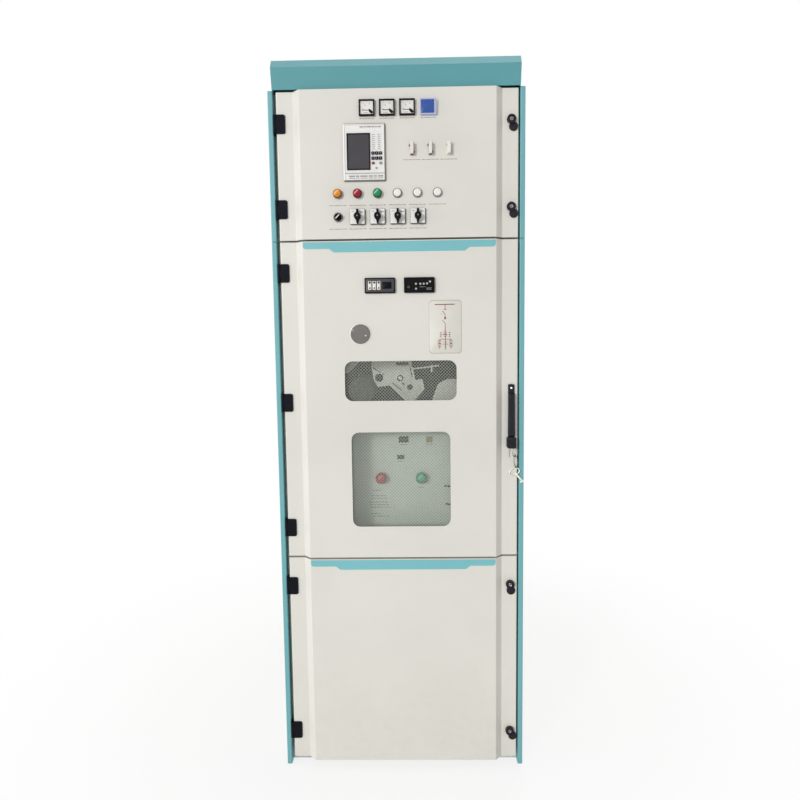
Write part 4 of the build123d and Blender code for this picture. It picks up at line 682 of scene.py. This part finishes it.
# Trip links: white bridges over moulded sockets, one red, one dark and one cream, which are
# let into the door, with a round terminal at each end.
PANEL_FACE = 772
LINKS_Z = 2026
LINK_XS = (47, 104, 161)
for x, name, code, shade_code, terminal_code in [
    (LINK_XS[0], "red_link", "C9888E", "B6727A", "7B2E3A"),
    (LINK_XS[1], "dark_link", "9AA096", "888E86", "3C4843"),
    (LINK_XS[2], "cream_link", "E6E4C6", "D8D5B4", "C9C5A0"),
]:
    socket = join(name + "_socket", [plate(x, LINKS_Z, 11.5, 40.5, PANEL_FACE, 5, 2.0, 0.8)])
    fit(socket, moulded(name + "_plastic", code, shade_code, 0.4), "instrument_door")
    terminals = [
        disc(x - 6, LINKS_Z + 9, 3.0, PANEL_FACE + 2, 5, 0.5, 0.8, 16),
        disc(x + 6, LINKS_Z - 11, 3.0, PANEL_FACE + 2, 5, 0.5, 0.8, 16),
        plate(x, LINKS_Z - 18.6, 9, 2.6, PANEL_FACE + 4, 3.5, 0.8),
    ]
    terminal_paint = moulded(name + "_terminals", terminal_code, terminal_code, 0.45)
    fit(join(name + "_terminals", terminals), terminal_paint, "instrument_door")


# Lamps: moulded plastic lenses with fine ribs, screwed into turned nickel rings in the door.
# They aren't lit; their colour holds painted shade towards the lower right and round the rim,
# and a painted highlight at the upper left.
def lens(name, code, shade_and_rib_code, x, z):
    """A moulded lens: ribs about its own middle, painted shade towards the lower right and round the rim,
    and a painted highlight at the upper left.
    """
    material, wire, shader = finish(name, Specular_IOR_Level=0.25, Coat_Weight=0.15, Coat_Roughness=0.1)
    across, up, out = from_middle(wire, x, z)
    ribs = wire.node("ShaderNodeMath", {"operation": "SINE"}, {0: out * 2200.0})
    # Painted shade: darker along this diagonal towards the lower right, and round the rim.
    slope = across - up
    rim = out.ramp(0.0092, 0.0132)
    body = (0.45 * slope.ramp(-0.012, 0.012) + 0.1 * ribs + 0.7 * rim).blend(tint(code), tint(shade_and_rib_code))
    # Painted highlight: a pale streak at the upper left, inside the rim.
    painted_highlight = slope.ramp(-0.0125, -0.009) * slope.ramp(-0.0075, -0.004, 1, 0)
    painted_highlight = painted_highlight * out.ramp(0.009, 0.0115, 1, 0)
    pale = [0.42 + 0.58 * share for share in tint(code)[:3]] + [1.0]
    feed(wire, shader, Base_Color=(0.85 * painted_highlight).blend(body, pale), Roughness=0.16 + 0.06 * ribs)
    return material


LAMP_Z = 1893
LAMP_XS = (-185, -123, -61, 1, 63, 125)
dress(lens("amber_lens", "F2A026", "6E3408", LAMP_XS[0], LAMP_Z), "amber_lamp")
dress(lens("red_lens", "B00C28", "44040E", LAMP_XS[1], LAMP_Z), "red_lamp")
dress(lens("green_lens", "1C9E62", "033A22", LAMP_XS[2], LAMP_Z), "green_lamp")
dress(moulded("white_lens", "F1F0EC", "E6E5E0", 0.2), "white_lamp")
bezel_metal = galvanised("bezel_metal", "8E8F8F", "6A6C6E")
dress(bezel_metal, "panel_bezels")


# Selector and cam switches: moulded black knobs on spindles, over white plates printed with
# short marks, with a pale line let into the selector and a dot into each cam knob.
SELECTOR_X = -185
line = plate(SELECTOR_X, SWITCH_Z, 3.2, 16, face("selector_knob") - 0.4, 0.6, 0.8, 0.2, -45)
fit(join("selector_line", [line]), white_plastic, "selector")
plate_face = face("cam_switch_plates")
marks = []
for x in CAM_XS:
    marks += caption(x - 15, SWITCH_Z + 16, 8, plate_face, 1.6)
    marks += caption(x + 14, SWITCH_Z + 14, 11, plate_face, 2.2)
fit(join("cam_switch_print", marks), ink, "instrument_door")
for number, x in enumerate(CAM_XS, 1):
    dot = disc(x, SWITCH_Z, 2.3, face(f"cam_switch_knob_{number}") - 1.5, 1.0, 0.3, sides=16)
    fit(join(f"cam_switch_dot_{number}", [dot]), pale_ink, f"cam_switch_{number}")


# Print on the instrument door: a row of short dashes under each instrument, in grey screen
# print on the powder coat itself.
lines = []
for xs, z, width in [
    ((*METER_XS, DIGITAL_X), 2118, 46),
    (LINK_XS, 1993, 52),
    (LAMP_XS, 1858, 52),
    ((SELECTOR_X, *CAM_XS), 1786, 54),
]:
    for x in xs:
        lines += caption(x, z, width, PANEL_FACE)
fit(join("instrument_captions", lines), pale_ink, "instrument_door")


# Controllers on the breaker door, black plastic boxes clipped into cut-outs: the humidity
# controller with three white rockers and a small display, and the live-line display with
# its row of dots.
CONTROLLER_Z = 1610
HEATER_X, LIVE_X = -57.5, 66
control_face = face("door_controllers")
charcoal = moulded("charcoal", "3A3B40", "303136", 0.42)
PANEL_SHEET = 0.8
heater_face = control_face + PANEL_SHEET
display_x = HEATER_X + 22
panel = [
    plate(HEATER_X, CONTROLLER_Z, 88, 40, control_face, PANEL_SHEET, 1.5, 0.3),
    plate(display_x, CONTROLLER_Z + 15.5, 44, 1.4, heater_face, 0.3),
    plate(HEATER_X + 42, CONTROLLER_Z, 1.4, 32, heater_face, 0.3),
    plate(display_x, CONTROLLER_Z - 15.5, 44, 1.4, heater_face, 0.3),
]
fit(join("heater_panel", panel), charcoal, "breaker_door")
display = join("heater_display", [plate(display_x, CONTROLLER_Z, 29, 21, heater_face, 0.6, 0.8, 0.2)])
fit(display, black_enamel("night_screen", "070910", "0A0C14", 0.3, 0.1), "breaker_door")
ROCKERS = [(HEATER_X - 31.5, "red"), (HEATER_X - 17.5, "green"), (HEATER_X - 3.5, "red")]
ROCKER_REACH = 1.6
rocker_face = heater_face + ROCKER_REACH
rockers = []
tails = {"red": [], "green": []}
for x, colour in ROCKERS:
    rockers.append(plate(x, CONTROLLER_Z, 10.5, 27, heater_face, ROCKER_REACH, 1.5, 0.5))
    tails[colour].append(plate(x, CONTROLLER_Z - 8, 4.5, 5, rocker_face, 0.5, 1.0, 0.2))
    tails[colour].append(plate(x, CONTROLLER_Z - 17, 5, 2, heater_face, 0.3))
fit(join("heater_rockers", rockers), white_plastic, "breaker_door")
fit(join("heater_red_marks", tails["red"]), dull_red, "breaker_door")
dull_green = moulded("dull_green", "2F6A4A", "285C40", 0.45)
fit(join("heater_green_marks", tails["green"]), dull_green, "breaker_door")
wells = [disc(x, CONTROLLER_Z + 9, 3.4, rocker_face, 0.4, 0.15, 1.0) for x, colour in ROCKERS]
fit(join("heater_wells", wells), charcoal, "breaker_door")
dots = []
for x, z in [(-10.7, 3.5), (3.3, 3.5), (13.8, 3.5), (24.3, 4.2), (33.6, 10), (-10.5, -11.5)]:
    dots.append(disc(LIVE_X + x, CONTROLLER_Z + z, 3.3, control_face, 0.9, 0.3, 0.8, 20))
dots += caption(LIVE_X + 30, CONTROLLER_Z - 10, 15, control_face, 1.6)
dots += caption(LIVE_X + 30, CONTROLLER_Z - 14, 15, control_face, 1.2)
dots += caption(LIVE_X + 10, CONTROLLER_Z - 6, 18, control_face, 1.0)
dot_grey = moulded("dot_grey", "B4B4B2", "A6A6A4", 0.35)
fit(join("live_line_dots", dots), dot_grey, "breaker_door")
socket = disc(LIVE_X - 34, CONTROLLER_Z - 6, 4.2, control_face, 1.0, 0.4, 1.6, 20)
fit(join("live_line_socket", [socket]), charcoal, "breaker_door")


# One-line diagram: a thin printed label with cut corners on the breaker door. The diagram is
# the usual feeder one: busbar, isolating contacts, breaker, transformers and earth.
MIMIC_X, MIMIC_Z, MIMIC_WIDTH, MIMIC_HEIGHT = 146.5, 1478.5, 105, 169
LABEL_SHEET = 0.3
LABEL_FACE = PANEL_FACE + LABEL_SHEET
label = plate(MIMIC_X, MIMIC_Z, MIMIC_WIDTH, MIMIC_HEIGHT, PANEL_FACE, LABEL_SHEET, 7.0, 0.12)
label_film = moulded("label_film", "DFDDD3", "DAD8CE", 0.36)
fit(join("diagram_label", [label]), label_film, "breaker_door")


def bar(start, end, width, back, reach):
    """A flat bar from one place to another on the front, in millimetres."""
    x, z = start[0] - end[0], start[1] - end[1]
    middle = ((start[0] + end[0]) / 2, (start[1] + end[1]) / 2)
    return plate(*middle, (x * x + z * z) ** 0.5, width, back, reach, turn=degrees(atan2(z, x)))


def stroke(start, end, width):
    """A printed line on the label from one place to another, in millimetres."""
    return bar(start, end, width, LABEL_FACE, 0.2)


left, right = MIMIC_X - MIMIC_WIDTH / 2 + 1.5, MIMIC_X + MIMIC_WIDTH / 2 - 1.5
foot, top = MIMIC_Z - MIMIC_HEIGHT / 2 + 1.5, MIMIC_Z + MIMIC_HEIGHT / 2 - 1.5
CUT = 8
border = [
    stroke((left + CUT, top), (right - CUT, top), 1.3),
    stroke((left + CUT, foot), (right - CUT, foot), 1.3),
    stroke((left, foot + CUT), (left, top - CUT), 0.9),
    stroke((right, foot + CUT), (right, top - CUT), 0.9),
]
for x, inner in [(left, left + CUT), (right, right - CUT)]:
    border.append(stroke((x, top - CUT), (inner, top), 1.3))
    border.append(stroke((x, foot + CUT), (inner, foot), 1.3))
fit(join("diagram_border", border), pale_ink, "breaker_door")
LINE_X = MIMIC_X
diagram = [
    stroke((114, 1548.5), (177, 1549), 2.8),
    stroke((LINE_X, 1548), (LINE_X, 1533), 2.0),
    stroke((LINE_X - 5, 1533), (LINE_X + 5, 1533), 1.6),
    stroke((138, 1529), (LINE_X, 1518), 1.8),
    stroke((LINE_X, 1518), (LINE_X, 1508), 1.8),
    stroke((134, 1520), (137, 1517), 1.2),
    plate(LINE_X, 1506, 5.5, 7.5, LABEL_FACE, 0.2, 0.6),
    stroke((138, 1499), (LINE_X, 1490), 1.8),
    stroke((LINE_X, 1490), (LINE_X + 1, 1407), 1.8),
    stroke((130.5, 1439.5), (166, 1439.5), 1.6),
    stroke((LINE_X - 9, 1424), (LINE_X + 9, 1424), 1.6),
    stroke((LINE_X - 5, 1431), (LINE_X + 6, 1431), 1.4),
    stroke((LINE_X - 3, 1417), (LINE_X + 3, 1417), 1.4),
]
for side in (-1, 1):
    near, far = LINE_X + side * 11, LINE_X + side * 17
    diagram += [
        stroke((near, 1461), (far, 1461), 1.4),
        stroke((near, 1454), (far, 1454), 1.4),
        stroke((near, 1447), (far, 1447), 1.4),
        stroke((near + side * 3, 1461), (near + side * 3, 1447), 1.2),
        stroke((LINE_X, 1454), (near, 1454), 0.9),
        stroke((LINE_X + side * 18, 1439.5), (LINE_X + side * 18, 1409), 1.4),
    ]
    for z in (1431, 1421):
        diagram.append(wire_ring(LINE_X + side * 18, z, 4.6, 6.2, 0.2, LABEL_FACE + 0.1))
for z in (1460, 1452):
    diagram.append(wire_ring(LINE_X, z, 4.2, 5.0, 0.2, LABEL_FACE + 0.1))
diagram_red = moulded("diagram_red", "903A3C", "803234", 0.55)
fit(join("diagram_lines", diagram), diagram_red, "breaker_door")


# Cover of the trip hole: a grey moulded disc that two plated screws hold to the breaker door,
# with a pale plastic washer behind it.
TRIP_X, TRIP_Z = -122, 1459
washer = disc(TRIP_X, TRIP_Z, 34, PANEL_FACE, 0.9, 0.4, sides=48)
fit(join("trip_cover_washer", [washer]), white_plastic, "breaker_door")
heads = [
    *screw(TRIP_X - 23, TRIP_Z + 12, 2.2, face("trip_cover"), 20),
    *screw(TRIP_X + 17, TRIP_Z - 5, 2.4, face("trip_cover"), 65),
]
fit(join("trip_cover_screws", heads), nickel, "breaker_door")


# Windows of the breaker door: clear polycarbonate set in from behind, with expanded steel
# mesh clamped behind it, slit and drawn from one sheet into diamonds.
material, wire, shader = finish("pane_glass", IOR=1.45, Roughness=0.03)
place = wire.node("ShaderNodeTexCoord", out=3)
haze = noise(wire, place, 14.0, 4.0)
feed(
    wire,
    shader,
    Base_Color=haze.ramp(0.3, 0.8).blend(tint("7F8F86"), tint("A3AFA8")),
    Alpha=haze.ramp(0.3, 0.8, 0.015, 0.04),
)
dress(material, "window_panes")


def expanded_mesh(name, x, z, width, height, pitch, strand, forward):
    """A sheet of diamonds: a grid turned on its corner, trimmed to size, each cell opened by an inset."""
    side = pitch / 2 ** 0.5 * MM
    cells = int((width + height) * MM / 2 ** 0.5 / side) + 3
    bpy.ops.object.select_all(action="DESELECT")
    bpy.ops.mesh.primitive_grid_add(x_subdivisions=cells, y_subdivisions=cells, size=cells * side)
    bpy.ops.object.mode_set(mode="EDIT")
    bpy.ops.mesh.select_all(action="SELECT")
    bpy.ops.transform.rotate(value=radians(45), orient_axis="Z", center_override=(0, 0, 0))
    bpy.ops.transform.rotate(value=radians(90), orient_axis="X", center_override=(0, 0, 0))
    for axis, half in [((1, 0, 0), width / 2), ((0, 0, 1), height / 2)]:
        for sign in (1, -1):
            normal = Vector(axis) * sign
            bpy.ops.mesh.select_all(action="SELECT")
            bpy.ops.mesh.bisect(plane_co=normal * half * MM, plane_no=normal, clear_outer=True)
    bpy.ops.mesh.select_mode(type="FACE")
    bpy.ops.mesh.select_all(action="SELECT")
    bpy.ops.mesh.inset(thickness=strand / 2 * MM, use_individual=True)
    bpy.ops.mesh.delete(type="FACE")
    bpy.ops.object.mode_set(mode="OBJECT")
    mesh = set_at(x, forward, z)
    mesh.name = mesh.data.name = name
    wall = mesh.modifiers.new("wall", "SOLIDIFY")
    wall.thickness = 0.6 * MM
    wall.offset = 0
    bpy.ops.object.modifier_apply(modifier="wall")
    return mesh


mesh_steel = galvanised("mesh_steel", "BABDB3", "A6A9A0", 0.15)
MESH_PITCH, MESH_STRAND, MESH_FORWARD = 10.2, 1.2, 762
UPPER_X, UPPER_Z, LOWER_X, LOWER_Z = 4, 1309, 2, 989
for name, *size in [("upper_mesh", UPPER_X, UPPER_Z, 386, 157), ("lower_mesh", LOWER_X, LOWER_Z, 348, 340)]:
    mesh = expanded_mesh(name, *size, MESH_PITCH, MESH_STRAND, MESH_FORWARD)
    fit(mesh, mesh_steel, "breaker_door")


# The breaker's truck, housing and panel: folded sheet, grey-green paint on the panel and the
# chassis, and on the housing, which stands on the truck and is open at the front, a dark grey
# that is partly its paint and partly painted shade for its inside.
breaker_paint = powder_coat("breaker_paint", "E2ECDF", "B0B7AA", 0.4)
dress(breaker_paint, "breaker_panel", "truck_chassis")
# Partly painted shade: the housing's grey is darker than its paint, for the shade inside it.
housing_paint_and_shade = powder_coat("housing_paint_and_shade", "3E423E", "343834", 0.45)
dress(housing_paint_and_shade, "breaker_housing")


# The mechanism over the breaker's panel: zinc plated plates, an arm and a hub on standoffs,
# with painted shade in the hub's recess, flat links pinned to them with thin strips of painted
# shadow beside them, and the drum of the closing spring deep at the left.
mechanism_steel = galvanised("mechanism_steel", "F0F1E4", "D5D7C9", 0.4)
dress(mechanism_steel, "mechanism_plate", "mechanism_bracket")
HUB_X, HUB_Z = 0, 1310
material, wire, shader = finish("hub_steel", Metallic=0.3)
out = from_middle(wire, HUB_X, HUB_Z)[2]
# Painted shade: a dark ring in the hub's recess, between the bright bolt and the bright rim.
recess_shade = out.ramp(0.0063, 0.0072) * out.ramp(0.0108, 0.0116, 1, 0)
colour = recess_shade.blend(tint("F6F6EE"), tint("35372F"))
feed(wire, shader, Base_Color=colour, Roughness=0.3 + 0.3 * recess_shade)
dress(material, "mechanism_hub")
mechanism_face = face("mechanism_plate")
links = [
    bar((-94, 1352), (-56, 1328), 4.5, mechanism_face, 3),
    bar((-30, 1290), (0, 1264), 4.5, mechanism_face, 2),
    bar((38, 1346), (46, 1313), 4.5, mechanism_face, 2),
    bar((60, 1296), (76, 1286), 4.5, mechanism_face, 2),
    bar((-15, 1350), (28, 1350), 3.5, mechanism_face, 2),
    disc(-60, 1331, 6, mechanism_face, 4, 1, 2),
]
link_steel = galvanised("link_steel", "FBFBF2", "E6E6DC", 0.1)
fit(join("mechanism_links", links), link_steel, "breaker_truck")
# Painted shadows: thin dark strips beside the links, where their shadows fall.
shades = [
    bar((-25, 1294), (5, 1268), 3.5, mechanism_face, 0.6),
    bar((33, 1346), (41, 1313), 3, mechanism_face, 0.6),
    bar((-91, 1346), (-56, 1323), 3.5, mechanism_face, 0.6),
    bar((8, 1295), (12, 1286), 5, mechanism_face, 0.6),
    disc(44, 1326, 4, mechanism_face, 0.6, 0.2),
]
fit(join("mechanism_painted_shadows", shades), charcoal, "breaker_truck")
HOUSING_SHEET = 2
DRUM_X, DRUM_Z, DRUM_RADIUS, DRUM_FACE = -134, 1266, 46, 604
drum_back = -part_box("breaker_housing")[1].y / MM + HOUSING_SHEET
drum = disc(DRUM_X, DRUM_Z, DRUM_RADIUS, drum_back, DRUM_FACE - drum_back, 4, 12, 40)
drum_steel = galvanised("drum_steel", "A2A29A", "7C7C75", 0.3)
fit(join("closing_spring_drum", [drum]), drum_steel, "breaker_truck")


# What the breaker's panel carries: two moulded press buttons, flags behind small windows, a
# grab handle of bent black rod, and rows of printed dashes.
BUTTON_X, BUTTON_Z = 67.5, 975
# The buttons take the lens material, with its painted shade and painted highlight.
dress(lens("red_button", "D0303F", "8E1A28", -BUTTON_X, BUTTON_Z), "trip_button")
dress(lens("green_button", "4CD2A4", "157A56", BUTTON_X, BUTTON_Z), "close_button")
BREAKER_FACE = 670
print_lines = []
for x, z, width in [
    (9.5, 1087, 26),
    (-1, 1030, 20),
    (96, 1087, 22),
    (BUTTON_X, 940, 20),
    (-84, 930, 28),
    (-78, 912, 48),
    (-76, 903, 52),
    (-78, 890, 60),
    (-75, 881, 64),
    (-72, 872, 70),
    (-88, 850, 34),
    (-70, 841, 60),
]:
    print_lines += caption(x, z, width, BREAKER_FACE, 2.6)
fit(join("breaker_panel_print", print_lines), pale_ink, "breaker_truck")
grab = [
    plate(158, 944, 28, 2.6, BREAKER_FACE, 12, 0.8, 0.8, -6),
    plate(160, 882, 24, 2.6, BREAKER_FACE, 12, 0.8, 0.8, -8),
    plate(172, 913, 2.6, 64, BREAKER_FACE + 9, 3, 0.8, 0.8),
]
fit(join("breaker_grab_handle", grab), black_metal, "breaker_truck")
FLAG_BACK = BREAKER_FACE - 2
flags = [
    plate(9.5, 1104, 26, 14, FLAG_BACK, 0.4, 1.0),
    plate(-1, 1044, 20, 9, FLAG_BACK, 0.4, 1.0),
]
fit(join("indicator_flags", flags), charcoal, "breaker_truck")
state_flag = join("state_flag", [plate(96, 1103, 20, 19, FLAG_BACK, 0.4, 1.0)])
fit(state_flag, moulded("flag_yellow", "A9A47C", "9A956E", 0.45), "breaker_truck")


# Bolts at the back, on the roof and behind the windows: zinc plated hexagon heads on washers
# round the rear covers and the relief flaps, and the nuts of the window clamps.
def hex_bolt(x, z, size, back):
    """A hexagon head on its washer, made as if on the front."""
    washer = disc(x, z, 1.35 * size, back, 0.2 * size, 0.06 * size)
    return [washer, disc(x, z, size, back + 0.2 * size, 0.6 * size, 0.1 * size, 0.15 * size, 6)]


def swing_round(piece, tip, turn):
    """Tips and turns a group made on the front about the origin, so that it faces another way."""
    bpy.ops.object.select_all(action="DESELECT")
    piece.select_set(True)
    bpy.context.view_layer.objects.active = piece
    piece.rotation_euler = (radians(tip), 0, radians(turn))
    bpy.ops.object.transform_apply(rotation=True)
    return piece


REAR_BOLT_X = 389
rear_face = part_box("rear_covers")[1].y / MM
lower_zs = (90, 260, 430, 600, 770, 940)
upper_zs = (1060, 1250, 1440, 1630, 1820, 2010, 2160)
places = [(side * REAR_BOLT_X, z) for side in (-1, 1) for z in lower_zs]
places += [(side * REAR_BOLT_X, z) for side in (-1, 1) for z in upper_zs]
places += [(x, z) for x in (-260, -130, 0, 130, 260) for z in (62, 981, 1021, 2190)]
heads = [piece for x, z in places for piece in hex_bolt(x, z, 7, rear_face)]
fit(swing_round(join("rear_cover_bolts", heads), 0, 180), zinc_sheet, "cabinet")
flap_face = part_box("relief_flaps")[1].z / MM
FLAP_BOLT_REACH = 160
heads = []
for middle in (-400, 40, 480):
    for x in (-300, -150, 0, 150, 300):
        heads += hex_bolt(x, middle - FLAP_BOLT_REACH, 6, flap_face)
        heads += hex_bolt(x, middle + FLAP_BOLT_REACH, 6, flap_face)
fit(swing_round(join("relief_flap_bolts", heads), -90, 0), zinc_sheet, "cabinet")
clamp_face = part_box("window_clamps")[1].y / MM
nuts = []
for x, z, half_width, half_height in [(UPPER_X, UPPER_Z, 204, 89), (LOWER_X, LOWER_Z, 185, 181)]:
    for side in (-1, 1):
        for share in (-0.9, 0, 0.9):
            nuts += hex_bolt(-x - side * half_width, z + share * half_height, 4.5, clamp_face)
            nuts += hex_bolt(-x - share * half_width, z + side * half_height, 4.5, clamp_face)
fit(swing_round(join("window_clamp_nuts", nuts), 0, 180), zinc_sheet, "breaker_door")
